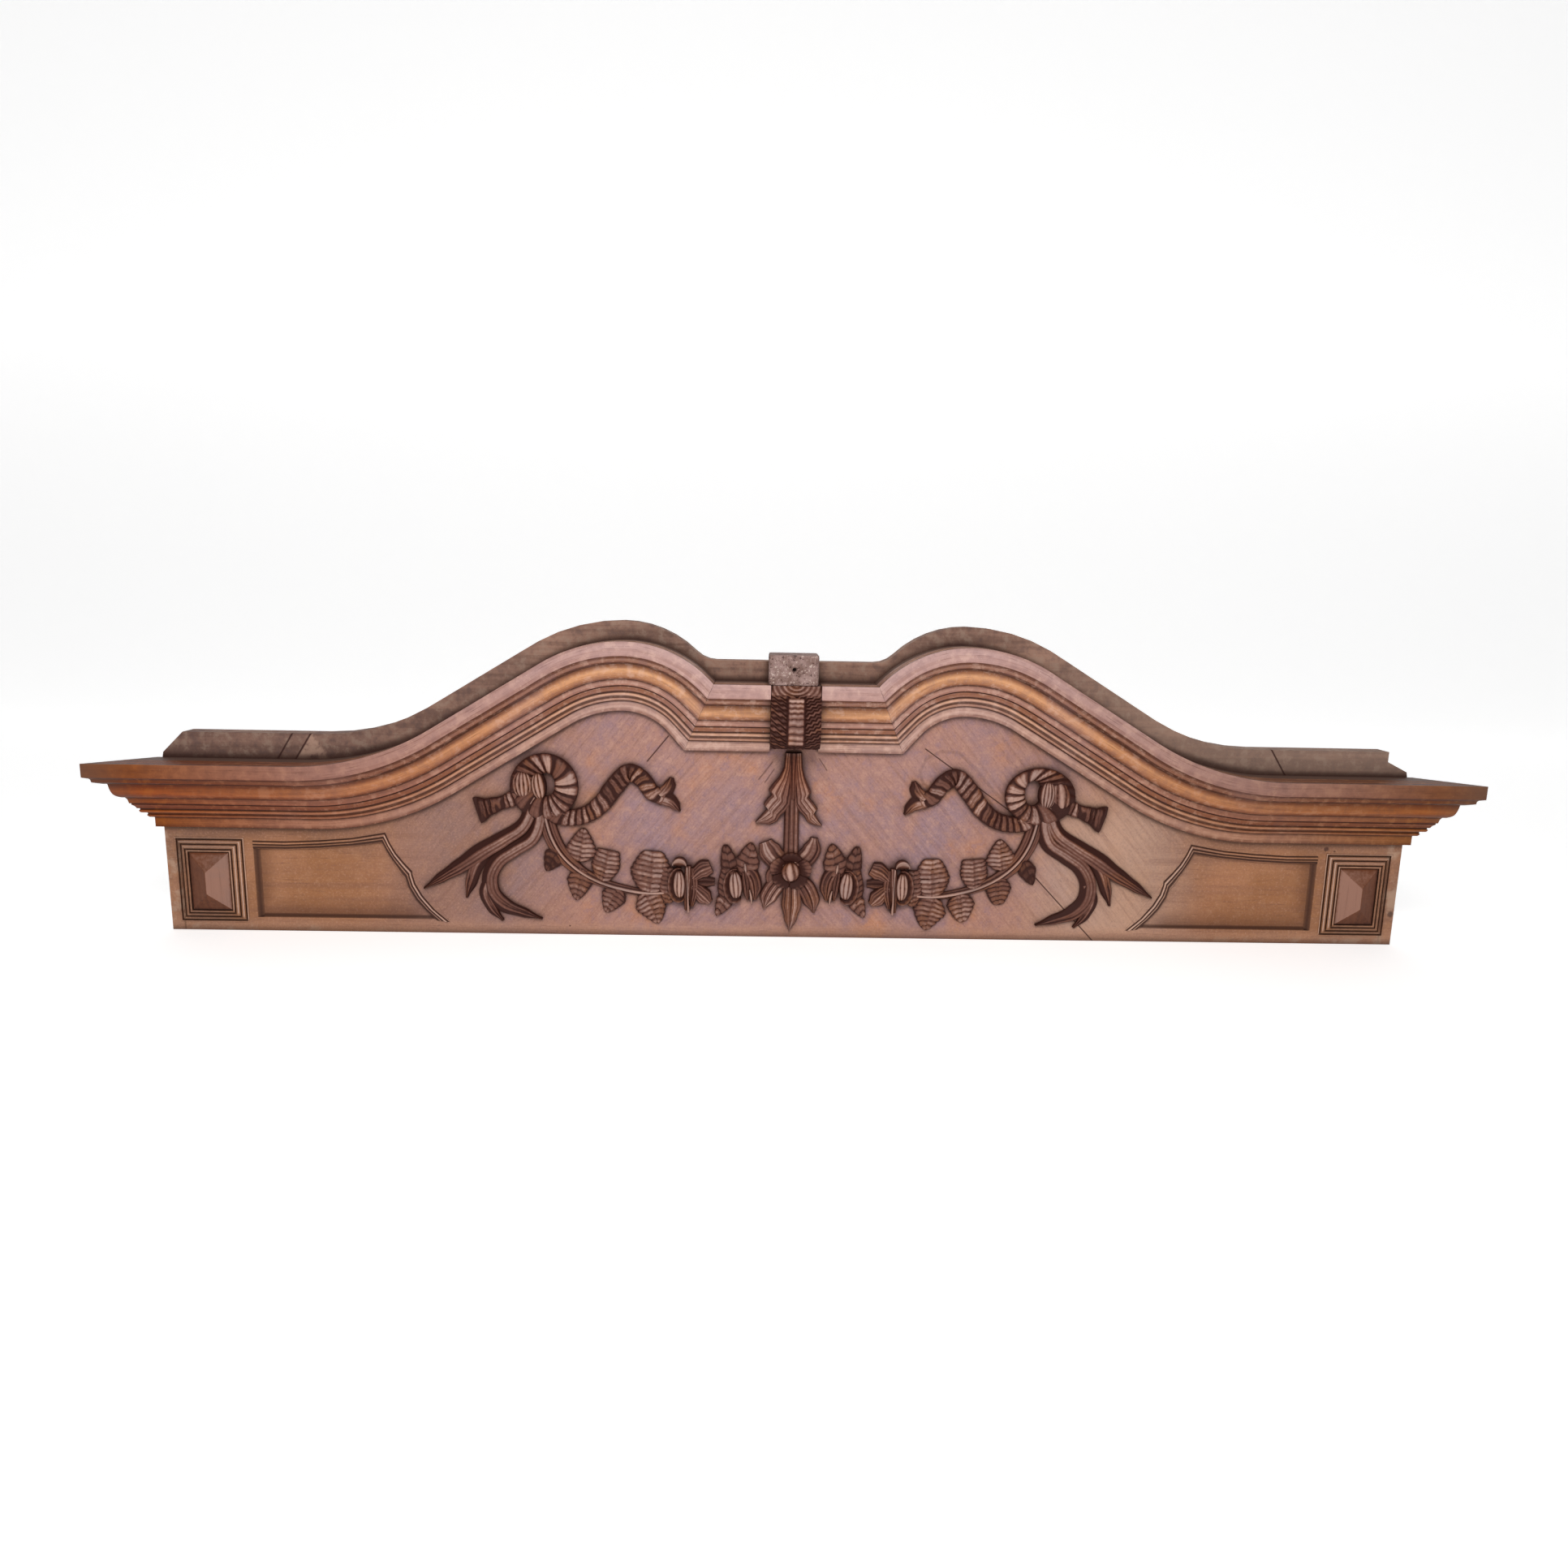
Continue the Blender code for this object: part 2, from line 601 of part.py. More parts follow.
FORK_B = ((0.386, 0.074), (0.396, 0.052), (0.387, 0.032), (0.373, 0.016))
STEM = ((0.316, 0.172), (0.313, 0.152), (0.308, 0.131), (0.295, 0.109), (0.275, 0.089),
        (0.246, 0.072), (0.215, 0.062), (0.185, 0.057), (0.158, 0.058), (0.130, 0.068), (0.080, 0.079))
STEM_LEAVES = (
    ((0.276, 0.096), (0.2665, 0.142), 0.0190, 0.0), ((0.251, 0.076), (0.2215, 0.113), 0.0185, 0.0),
    ((0.184, 0.058), (0.176, 0.112), 0.0270, 0.0), ((0.297, 0.108), (0.316, 0.083), 0.0105, 0.0),
    ((0.268, 0.084), (0.271, 0.049), 0.0150, 0.0), ((0.222, 0.064), (0.243, 0.031), 0.0140, 0.0),
    ((0.186, 0.058), (0.165, 0.018), 0.0175, 0.0),
)
ROSE_CENTRE = (0.1445, 0.077)
ROSE_BUD = (0.0125, 0.0165)
ROSE_PETALS = (
    ((0.150, 0.085), (0.166, 0.100), 0.012, 0.1), ((0.143, 0.088), (0.140, 0.109), 0.014, 0.0),
    ((0.150, 0.070), (0.158, 0.048), 0.011, -0.1), ((0.142, 0.066), (0.136, 0.042), 0.012, 0.0),
    ((0.138, 0.078), (0.124, 0.076), 0.016, 0.0),
)
ROSE_LEAVES = (((0.128, 0.080), (0.103, 0.097), 0.0105, 0.1), ((0.128, 0.072), (0.103, 0.052), 0.0105, -0.1))
BUD_CENTRE = (0.071, 0.079)
BUD_RADII = (0.0105, 0.0145)
BUD_LEAVES = (
    ((0.075, 0.088), (0.088, 0.123), 0.0120, 0.0), ((0.067, 0.090), (0.058, 0.131), 0.0120, 0.0),
    ((0.078, 0.072), (0.095, 0.036), 0.0110, 0.1), ((0.080, 0.084), (0.099, 0.081), 0.0090, 0.0),
)
BUD_PETALS = (((0.064, 0.088), (0.042, 0.103), 0.011, 0.1), ((0.063, 0.072), (0.045, 0.054), 0.012, -0.1))
FLOWER_CENTRE = (0.0, 0.094)
FLOWER_BUD = 0.0105
FLOWER_RING = 0.0235
FLOWER_LEAVES = (
    ((-0.012, 0.104), (-0.032, 0.134), 0.0125, 0.1), ((0.010, 0.106), (0.027, 0.138), 0.0125, -0.1),
    ((-0.010, 0.080), (-0.032, 0.040), 0.0115, -0.1), ((0.0, 0.078), (0.0, 0.010), 0.0130, 0.0),
    ((0.010, 0.080), (0.032, 0.038), 0.0115, 0.1),
)
DROP_ROOT_Z = 0.2455
DROP_STEM = ((0.0, DROP_ROOT_Z - 0.004), (0.0, 0.170), (0.0, 0.116))
DROP_LEAF = ((0.002, 0.2440), (0.009, 0.214), (0.018, 0.186), (0.030, 0.166), (0.041, 0.153))
DROP_WIDTHS = (0.0060, 0.0085, 0.0160, 0.0110, 0.0165, 0.0100, 0.0020)


def pleated(count, height, depth):
    """Heights along a ribbon whose cross pleats rise and fall from station to station."""
    return [height + (depth if i % 2 else -depth) for i in range(count)]


def bow(tag, side):
    """Knot, round loop, wavy tail, short outer tail and two forked streamers."""
    bodies = [dome(f"{tag}_knot", (side * KNOT_CENTRE[0], KNOT_CENTRE[1]), KNOT_RADII, KNOT_H)]
    turns = np.linspace(0, 2 * math.pi, 18, endpoint=False)
    ring = np.c_[side * (LOOP_CENTRE[0] + LOOP_RADII[0] * np.cos(turns)),
                 LOOP_CENTRE[1] + LOOP_RADII[1] * np.sin(turns)]
    bodies.append(band(f"{tag}_loop", ring, [LOOP_HALF_W] * 18, pleated(18, LOOP_H, 0.0012),
                       RIBBON_SECTION, closed=True))
    count = 17
    path = smooth_path(mirrored(WAVY_TAIL, side), count)
    widths = spread((0.0095, 0.0105, 0.0105, 0.0115, 0.0105), count)
    bodies.append(band(f"{tag}_tail", path, widths, pleated(count, RIBBON_H, 0.0011), RIBBON_SECTION))
    end = np.array(mirrored(((0.164, 0.185), (0.153, 0.187), (0.1465, 0.187)), side))
    bodies.append(band(f"{tag}_tail_end", end, (0.009, 0.016, 0.023), (0.007,) * 3, RIDGED_SECTION))
    path = smooth_path(mirrored(OUTER_TAIL, side), 7)
    bodies.append(band(f"{tag}_outer_tail", path, spread((0.013, 0.011, 0.0095, 0.012, 0.019), 7),
                       pleated(7, RIBBON_H, 0.0010), RIBBON_SECTION))
    for label, line, widths, count in (
        ("a", STREAMER_A, (0.0085, 0.0100, 0.0110, 0.0120, 0.0075, 0.0055, 0.0012), 11),
        ("b", STREAMER_B, (0.0085, 0.0100, 0.0110, 0.0105, 0.0100, 0.0085, 0.0060, 0.0012), 13),
        ("fork_a", FORK_A, (0.0080, 0.0085, 0.0070, 0.0015), 5),
        ("fork_b", FORK_B, (0.0070, 0.0075, 0.0065, 0.0020), 5),
    ):
        path = smooth_path(mirrored(line, side), count)
        bodies.append(band(f"{tag}_streamer_{label}", path, spread(widths, count),
                           spread((STREAMER_H, STREAMER_H * 0.75), count), RIDGED_SECTION))
    return bodies


def leaves(tag, rows, side, maker, height):
    """Leaves or petals from rows of (base, tip, half width, bend)."""
    return [maker(f"{tag}_{k}", (side * base[0], base[1]), (side * tip[0], tip[1]), width,
                  height * (1.0 - 0.03 * k), side * bend)
            for k, (base, tip, width, bend) in enumerate(rows)]


def garland(tag, side):
    """Ribbed stem with toothed leaves, a full rose and a half-open one."""
    path = smooth_path(mirrored(STEM, side), 13)
    bodies = [band(f"{tag}_stem", path, spread((0.0095, 0.0100, 0.0085, 0.0055, 0.0042, 0.0040), 13),
                   spread((STEM_H, STEM_H * 0.7), 13), RIDGED_SECTION)]
    bodies += leaves(f"{tag}_leaf", STEM_LEAVES, side, leaf, LEAF_H)
    bodies += leaves(f"{tag}_rose_leaf", ROSE_LEAVES, side, leaf, LEAF_H)
    bodies += leaves(f"{tag}_rose_petal", ROSE_PETALS, side, petal, PETAL_H)
    bodies.append(dome(f"{tag}_rose", (side * ROSE_CENTRE[0], ROSE_CENTRE[1]), ROSE_BUD, BUD_H, 8))
    bodies += leaves(f"{tag}_bud_leaf", BUD_LEAVES, side, leaf, LEAF_H * 1.2)
    bodies += leaves(f"{tag}_bud_petal", BUD_PETALS, side, petal, PETAL_H)
    bodies.append(dome(f"{tag}_bud", (side * BUD_CENTRE[0], BUD_CENTRE[1]), BUD_RADII, BUD_H, 8))
    return bodies


def build_centre_drop():
    """Acanthus drop under the bracket, its stem, and the flower that the stem ends in."""
    bodies = [dome("flower_bud", FLOWER_CENTRE, (FLOWER_BUD, FLOWER_BUD), BUD_H, 8)]
    for k in range(5):
        turn = math.radians(90 + 72 * k)
        tip = (FLOWER_CENTRE[0] + FLOWER_RING * math.cos(turn),
               FLOWER_CENTRE[1] + FLOWER_RING * math.sin(turn))
        bodies.append(petal(f"flower_petal_{k}", FLOWER_CENTRE, tip, 0.0125, PETAL_H * (1 - 0.02 * k)))
    bodies += leaves("flower_leaf", FLOWER_LEAVES, 1, leaf, LEAF_H * 1.1)
    bodies.append(band("drop_stem", smooth_path(DROP_STEM, 4), (0.0085, 0.0085, 0.010, 0.010),
                       spread((DROP_H, LEAF_H), 4), RIDGED_SECTION))
    for side in (-1, 1):
        path = smooth_path(mirrored(DROP_LEAF, side), 9)
        widths = spread(DROP_WIDTHS, 9)
        widths[::2] *= 0.86
        bodies.append(band(f"drop_leaf_{side}", path, widths, spread((DROP_H * 1.05, DROP_H * 0.7), 9),
                           RIDGED_SECTION))
    return carve("centre_drop", wood("drop_wood", shade(0.8)), bodies)


build_board()
for word, side in (("left", -1), ("right", 1)):
    cornice_curve(f"cornice_curve_{word}", side, wood(f"cornice_curve_{word}_wood", shade(1.0)))
    cornice_straight(f"cornice_straight_{word}", side, wood(f"cornice_straight_{word}_wood", shade(1.1)))
    build_boss(f"boss_{word}", side)
    carve(f"swag_{word}", wood(f"swag_{word}_wood", shade(0.8)), bow(word, side) + garland(word, side))
build_keystone()
build_cap()
build_centre_drop()
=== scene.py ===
# %% [markdown]
# The object is the carved crest of an old wardrobe: a plank with a double-humped outline, a heavy
# moulding bent along it, and thin carvings glued to its face. The solids that carry the real sizes are
# loaded first. Everything that is made later is placed in their frame, in metres: X runs along the
# crest, Y goes back and Z is up.

# %% Load the solids
import math
from functools import reduce
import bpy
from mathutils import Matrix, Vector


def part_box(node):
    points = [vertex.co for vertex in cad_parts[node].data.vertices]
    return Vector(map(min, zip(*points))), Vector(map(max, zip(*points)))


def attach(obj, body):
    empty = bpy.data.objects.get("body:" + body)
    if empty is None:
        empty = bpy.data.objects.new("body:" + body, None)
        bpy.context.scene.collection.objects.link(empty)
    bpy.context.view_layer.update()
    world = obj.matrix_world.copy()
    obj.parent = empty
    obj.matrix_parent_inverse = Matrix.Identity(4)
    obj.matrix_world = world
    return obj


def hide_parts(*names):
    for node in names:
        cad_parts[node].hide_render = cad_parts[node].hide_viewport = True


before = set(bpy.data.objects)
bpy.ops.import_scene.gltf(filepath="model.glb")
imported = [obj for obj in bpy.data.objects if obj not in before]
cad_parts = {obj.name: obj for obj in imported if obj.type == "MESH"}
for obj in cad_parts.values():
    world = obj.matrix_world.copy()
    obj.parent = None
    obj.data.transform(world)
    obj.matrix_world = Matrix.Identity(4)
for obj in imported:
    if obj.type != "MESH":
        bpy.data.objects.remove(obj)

from types import SimpleNamespace

import bpy
import numpy as np
from mathutils import Matrix

for leftover in ("Cube", "Light", "Camera"):
    if leftover in bpy.data.objects:
        bpy.data.objects.remove(bpy.data.objects[leftover], do_unlink=True)
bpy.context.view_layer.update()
BOARD_LOW, BOARD_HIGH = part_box("frieze_board")
FACE_Y = BOARD_LOW.y
FRIEZE_HALF = BOARD_HIGH.x
print("solids:", sorted(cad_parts), "face at y =", round(FACE_Y, 4))

# %% [markdown]
# The camera stands a little left of the middle, above the crest, and looks down on it by ten degrees.
# A camera's matrix holds its own X, Y and backward directions as columns, so the view is set exactly
# from three angles.

# %% Camera
CAMERA_AT = (-0.043, -1.3405, 0.451)
CAMERA_DOWN, CAMERA_TURN, CAMERA_ROLL = (math.radians(a) for a in (10.52, 1.36, 1.17))
FOCAL_IN_WIDTHS = 1300 / 1932


def camera_matrix(place, down, turn, roll):
    """Columns are the camera's right, up and backward directions, rolled about its line of sight."""
    ahead = np.array((math.sin(turn) * math.cos(down), math.cos(turn) * math.cos(down), -math.sin(down)))
    right = np.array((math.cos(turn), -math.sin(turn), 0.0))
    up = np.cross(right, ahead)
    columns = (math.cos(roll) * right + math.sin(roll) * up, math.cos(roll) * up - math.sin(roll) * right)
    matrix = np.eye(4)
    matrix[:3, :4] = np.c_[columns[0], columns[1], -ahead, place]
    return Matrix(matrix.tolist())


lens = bpy.data.cameras.new("camera")
lens.sensor_width = 36.0
lens.lens = lens.sensor_width * FOCAL_IN_WIDTHS
camera = bpy.data.objects.new("camera", lens)
bpy.context.scene.collection.objects.link(camera)
camera.matrix_world = camera_matrix(CAMERA_AT, CAMERA_DOWN, CAMERA_TURN, CAMERA_ROLL)
bpy.context.scene.camera = camera
print("camera lens", round(lens.lens, 2), "mm")

# %% [markdown]
# Colours are easier to judge as the 0 to 255 numbers of a picture, but a shader works with light, so
# each is turned to linear light first. Shader maths reads badly as a web of nodes. A small class wraps
# a socket, so that ordinary Python sums add the Math nodes.

# %% Shader helpers


def tone(red, green, blue):
    """Linear colour of a picture colour: a channel c becomes ((c + 0.055) / 1.055) ** 2.4."""
    channels = (np.array((red, green, blue)) / 255 + 0.055) / 1.055
    return (*(channels**2.4).tolist(), 1.0)


class Wire:
    """Output socket that Python operators can be used on."""

    def __init__(self, finish, socket):
        self.finish, self.socket = finish, socket

    def maths(self, operation, *values):
        return self.finish.node("ShaderNodeMath", dict(enumerate((self, *values))), operation=operation)

    def __add__(self, other):
        return self.maths("ADD", other)

    def __mul__(self, other):
        return self.maths("MULTIPLY", other)

    def __sub__(self, other):
        return self.maths("SUBTRACT", other)

    def __rsub__(self, other):
        return self.finish.node("ShaderNodeMath", {0: other, 1: self}, operation="SUBTRACT")

    def __truediv__(self, other):
        return self.maths("DIVIDE", other)

    __radd__, __rmul__ = __add__, __mul__

    def between(self, low, high, smooth=True):
        """0 below low, 1 above high, and a soft step in between."""
        kind = "SMOOTHSTEP" if smooth else "LINEAR"
        return self.finish.node("ShaderNodeMapRange", {"Value": self, "From Min": low, "From Max": high},
                                interpolation_type=kind, clamp=True)


class Finish:
    """Material with one Principled shader."""

    def __init__(self, name, **constants):
        self.material = bpy.data.materials.new(name)
        self.material.use_nodes = True
        self.tree = self.material.node_tree
        self.shader = self.tree.nodes["Principled BSDF"]
        for socket, value in constants.items():
            self.shader.inputs[socket.replace("_", " ")].default_value = value

    def node(self, kind, sockets=None, out=0, stops=None, **settings):
        """Adds a node: settings first, then a ramp's stops, then the values or links of its sockets."""
        node = self.tree.nodes.new(kind)
        for key, value in settings.items():
            setattr(node, key, value)
        if stops:
            ramp = node.color_ramp
            while len(ramp.elements) < len(stops):
                ramp.elements.new(0.5)
            for element, (place, colour) in zip(ramp.elements, stops):
                element.position, element.color = place, colour
        for key, value in (sockets or {}).items():
            self.feed(node.inputs[key], value)
        return Wire(self, node.outputs[out])

    def feed(self, socket, value):
        """Links a wire to a socket, or sets the socket's own value."""
        if isinstance(value, Wire):
            self.tree.links.new(value.socket, socket)
        else:
            socket.default_value = value

    def coordinates(self, kind="Object"):
        """Place on the object, or the piece's own metres along and across the wood for UV."""
        if kind == "UV":
            return self.node("ShaderNodeUVMap", uv_map="metres")
        return self.node("ShaderNodeTexCoord", out=kind)

    def noise(self, place, scale, detail=4.0, roughness=0.55, distortion=0.0):
        sockets = {"Vector": place, "Scale": scale, "Detail": detail, "Roughness": roughness,
                   "Distortion": distortion}
        return self.node("ShaderNodeTexNoise", sockets)

    def mix(self, factor, first, second, blend="MIX"):
        """First colour at factor 0, second at 1."""
        return self.node("ShaderNodeMix", {0: factor, 6: first, 7: second}, out=2, data_type="RGBA",
                         blend_type=blend, clamp_factor=True)

    def layered(self, colour, *layers):
        """Colours laid over the first one after the other; each layer is a mask and a colour."""
        for mask, layer in layers:
            colour = self.mix(mask, colour, layer)
        return colour

    def dirt_and_shade_in_corners(self, distance, low, high, samples=8):
        """1 in corners that the sky does not reach, by the light that comes in from near by; laid on as dirt
        and painted shade.
        """
        sky = self.node("ShaderNodeAmbientOcclusion", {"Distance": distance}, out="AO", samples=samples)
        return 1 - sky.between(low, high)

    def axis(self, place, name):
        return self.node("ShaderNodeSeparateXYZ", {0: place}, out=name)

    def attribute(self, name):
        return self.node("ShaderNodeAttribute", out="Fac", attribute_name=name)

    def finish(self, colour, roughness, height=None, depth=0.0005):
        """Feeds the shader; height is a bump of the given depth in metres."""
        self.feed(self.shader.inputs["Base Color"], colour)
        self.feed(self.shader.inputs["Roughness"], roughness)
        if height is not None:
            bump = self.node("ShaderNodeBump", {"Height": height, "Distance": depth, "Strength": 1.0})
            self.feed(self.shader.inputs["Normal"], bump)
        return self.material


# %% [markdown]
# Every new piece is one or more closed skins. A skin is a grid of points: row after row of a ring of
# points, joined by four-sided faces, and closed at both ends. Numpy works out all the points at once.
# Each point also keeps where it is along and across the wood, in metres, and how deep in a hollow it
# lies, because old polish is dark in hollows and rubbed pale on edges; in places the same value also
# holds painted shade.

# %% Skins
SIDES = (("left", -1), ("right", 1))


def skin(rings, hollow, metres, closed=False):
    """Faces over rings of points: face (i, j) joins points j and j + 1 of ring i to those of ring i + 1.

    The signed volume, a sum of corner determinants over the faces, says whether they point outwards.
    """
    rings = np.asarray(rings, dtype=float)
    n, m = rings.shape[:2]
    i = np.arange(n if closed else n - 1)[:, None]
    j = np.arange(m)[None, :]
    k, after = (j + 1) % m, (i + 1) % n
    faces = np.stack((i * m + j, i * m + k, after * m + k, after * m + j), -1).reshape(-1, 4).tolist()
    if not closed:
        faces += [list(range(m))[::-1], list(range((n - 1) * m, n * m))]
    points = rings.reshape(-1, 3)
    middle = points.mean(0)
    quads = points[np.array(faces[:(n if closed else n - 1) * m])] - middle
    volume = np.einsum("ij,ij->", quads[:, 0], np.cross(quads[:, 1] - quads[:, 0], quads[:, 2] - quads[:, 0]))
    if volume < 0:
        faces = [face[::-1] for face in faces]
    full = np.broadcast_to(np.asarray(hollow, dtype=float), (n, m)).reshape(-1)
    return {"points": points, "faces": faces, "hollow": full, "metres": np.asarray(metres).reshape(-1, 2)}


def joined(skins):
    """Several skins as one, with each one's face numbers moved past the points before it."""
    starts = np.cumsum([0] + [len(one["points"]) for one in skins])
    faces = [[corner + int(start) for corner in face]
             for one, start in zip(skins, starts) for face in one["faces"]]
    merged = {key: np.concatenate([one[key] for one in skins]) for key in ("points", "hollow", "metres")}
    return {**merged, "faces": faces}


def piece(name, skins, material, replaces=(), sharp=50.0):
    """Mesh object at the origin, smooth except where two faces meet at more than the sharp angle."""
    made = joined(skins)
    mesh = bpy.data.meshes.new(name)
    mesh.from_pydata(made["points"].tolist(), [], made["faces"])
    corners = np.empty(len(mesh.loops), dtype=np.int32)
    mesh.loops.foreach_get("vertex_index", corners)
    layer = mesh.uv_layers.new(name="metres")
    layer.data.foreach_set("uv", made["metres"][corners].astype(np.float32).ravel())
    layer = mesh.attributes.new("hollow", "FLOAT", "POINT")
    layer.data.foreach_set("value", made["hollow"].astype(np.float32))
    mesh.shade_smooth()
    mesh.set_sharp_from_angle(angle=math.radians(sharp))
    mesh.materials.append(material)
    thing = bpy.data.objects.new(name, mesh)
    bpy.context.scene.collection.objects.link(thing)
    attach(thing, "root")
    if replaces:
        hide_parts(*replaces)
    print(name, sum(len(face) - 2 for face in made["faces"]), "triangles")
    return thing


def wavering(at, lengths, seed, size):
    """Uneven hand work: sines of the given wavelengths, each with a shift drawn from the seed, summed."""
    shifts = np.random.default_rng(seed).uniform(0, 2 * math.pi, len(lengths))
    waves = [np.sin(2 * math.pi * at / length + shift) for length, shift in zip(lengths, shifts)]
    return size * np.mean(waves, axis=0)


def smooth_path(points, count):
    """Points at even steps of a smooth curve: each stretch is a cubic with the neighbours' slopes."""
    points = np.array(points, dtype=float)
    chord = np.r_[0.0, np.cumsum(np.hypot(*np.diff(points, axis=0).T))]
    slope = np.gradient(points, chord, axis=0)
    at = np.linspace(0.0, chord[-1], count)
    i = np.clip(np.searchsorted(chord, at, side="right") - 1, 0, len(chord) - 2)
    step = (chord[i + 1] - chord[i])[:, None]
    t = (at - chord[i])[:, None] / step
    start, end = points[i], points[i + 1]
    return ((2 * t**3 - 3 * t**2 + 1) * start + (t**3 - 2 * t**2 + t) * step * slope[i]
            + (3 * t**2 - 2 * t**3) * end + (t**3 - t**2) * step * slope[i + 1])


def along(path):
    """Distance travelled at each point of a path."""
    return np.r_[0.0, np.cumsum(np.hypot(*np.diff(path, axis=0).T))]


def to_left(path):
    """Unit directions to the left of a path, from the points before and after each one."""
    run = np.gradient(path, axis=0)
    run = run / np.hypot(run[:, 0], run[:, 1])[:, None]
    return np.c_[-run[:, 1], run[:, 0]]


def on_face(x, z, proud):
    """Points that stand proud of the board's face."""
    x, z, proud = np.broadcast_arrays(x, z, proud)
    return np.stack((x, FACE_Y - proud, z), -1)


# %% [markdown]
# The cornice is one moulding that follows a long S-curve up to a hump, comes down steeply, and meets a
# short level length beside the middle bracket. It is worked as a profile carried along two guide lines,
# one for its foot and one for its top. The profile is a row of corners, each rounded by its own
# amount, from 0.3 mm in a sharp quirk to 4.6 mm on a full round.

# %% Cornice profile
CORNICE_H = 0.0885
# Distance out from the board's face, height above the foot and rounding of each corner.
PROFILE_MM = (
    (60.0, 88.5, 0.9), (60.0, 71.5, 0.7), (54.4, 69.4, 0.5), (53.2, 67.8, 0.4), (52.7, 64.4, 0.6),
    (44.0, 61.2, 0.4), (41.6, 62.4, 0.3), (40.7, 59.4, 1.2), (39.7, 52.0, 4.6), (36.9, 45.2, 3.4),
    (31.2, 41.9, 1.2), (28.8, 41.9, 0.3), (27.4, 39.6, 0.3), (26.9, 38.9, 0.6), (25.8, 33.6, 0.5),
    (23.9, 33.0, 0.3), (24.3, 31.7, 0.4), (21.2, 28.8, 1.5), (20.2, 26.1, 0.6), (17.9, 26.1, 0.3),
    (17.6, 24.3, 0.3), (18.9, 23.2, 0.8), (17.6, 20.4, 1.2), (14.8, 19.7, 0.5), (12.1, 19.5, 0.3),
    (11.9, 17.3, 0.3), (12.9, 16.2, 0.7), (11.0, 13.3, 1.1), (8.4, 12.9, 0.4), (6.7, 12.2, 0.5),
    (6.7, 0.0, 0.3),
)
# Heights of the quirks, which get a darker tone.
QUIRKS_MM = (62.0, 41.0, 32.9, 25.2, 18.3, 12.8, 70.6, 66.0)


def rounded(corners, steps=4):
    """Each corner becomes a short curve: a parabola that starts and ends its radius away from it."""
    corners = np.array(corners)
    spots = corners[:, :2] / 1000
    radius = corners[1:-1, 2:] / 1000
    back = spots[:-2] - spots[1:-1]
    ahead = spots[2:] - spots[1:-1]
    back /= np.hypot(*back.T)[:, None]
    ahead /= np.hypot(*ahead.T)[:, None]
    t = np.linspace(0, 1, steps)[:, None, None]
    curves = spots[1:-1] + radius * ((1 - t) ** 2 * back + t**2 * ahead)
    return np.vstack((spots[:1], curves.transpose(1, 0, 2).reshape(-1, 2), spots[-1:]))


PROFILE = rounded(PROFILE_MM)
PROFILE_SHARE = PROFILE[:, 1] / CORNICE_H
PROFILE_GIRTH = along(PROFILE)
PROFILE_HOLLOW = np.exp(-(np.abs(PROFILE[:, 1:] - np.array(QUIRKS_MM) / 1000).min(1) / 0.0009) ** 2)
print("profile:", len(PROFILE), "points,", round(PROFILE_GIRTH[-1] * 1000), "mm round")

# %% [markdown]
# The wood is the same everywhere: streaky grain with short dark pores, and patches of warmer and greyer
# polish. A picture of wood could be laid on, but it would repeat and stretch. Grain is noise that is
# stretched many times longer along the wood than across, so one function makes it for every finish.

# %% Wood


def grain(finish, place, lengthwise, crosswise):
    """(streaks, pores, patches): stretched noise, finer noise cut off high, and broad noise."""
    stretched = finish.node("ShaderNodeVectorMath", {0: place, 1: (lengthwise, crosswise, crosswise)},
                            operation="MULTIPLY")
    streaks = finish.noise(stretched, 1.0, 5.0, 0.6, 0.5)
    finer = finish.node("ShaderNodeVectorMath", {0: place, 1: (lengthwise * 9, crosswise * 5, crosswise * 5)},
                        operation="MULTIPLY")
    pores = finish.noise(finer, 1.0, 2.0, 0.5).between(0.58, 0.72)
    patches = finish.noise(place, 7.0, 3.0, 0.6)
    return streaks, pores, patches


def largest(masks):
    """Largest of several masks at each point."""
    return reduce(lambda first, second: first.maths("MAXIMUM", second), masks)


# %% [markdown]
# A joint, or the faint outline that a lost carving left, is a thin line on the board. It could be
# painted on a picture; here the shader works out how far each point lies from the line and along it,
# which stays sharp at any distance.

# %% Lines on the board


def line_mask(at, start, stop, width):
    """1 on a thin straight line between two points on the board, from the distance to it and along it."""
    run = np.array(stop) - np.array(start)
    length = float(np.hypot(*run))
    dx, dz = (run / length).tolist()
    x, z = at.across - start[0], at.up - start[1]
    beside = (x * dz - z * dx).maths("ABSOLUTE")
    travelled = x * dx + z * dz
    inside = travelled.between(-0.002, 0.001) * (1 - travelled.between(length - 0.001, length + 0.002))
    return (1 - beside.between(width * 0.4, width)) * inside


def polyline_mask(at, points, width):
    """Largest of the line masks between neighbouring points."""
    return largest([line_mask(at, a, b, width) for a, b in zip(points, points[1:])])


# %% [markdown]
# The board's face is polished mauve-pink in the middle and turns to orange-brown at the ends. Its
# grain slants down and outwards in the middle, where boards are glued side by side, and runs level in
# the frieze. The band that stands behind the cornice was never polished. One shader holds both, because
# the border between them is only a line on the board: the height of the cornice's top at each place.

# %% Board places
GRAIN_SLOPE = 50
PANEL_X, PANEL_BOTTOM_Z = 0.690, 0.0180
CORNICE_TOP_Z = ((0.000, 0.3355), (0.120, 0.3355), (0.150, 0.3600), (0.170, 0.3755), (0.190, 0.3830),
                 (0.2085, 0.3845), (0.250, 0.3790), (0.300, 0.3620), (0.400, 0.3020), (0.480, 0.2560),
                 (0.560, 0.2320), (0.620, 0.2268), (0.800, 0.2265))
RAMP_TOP_Z = 0.5


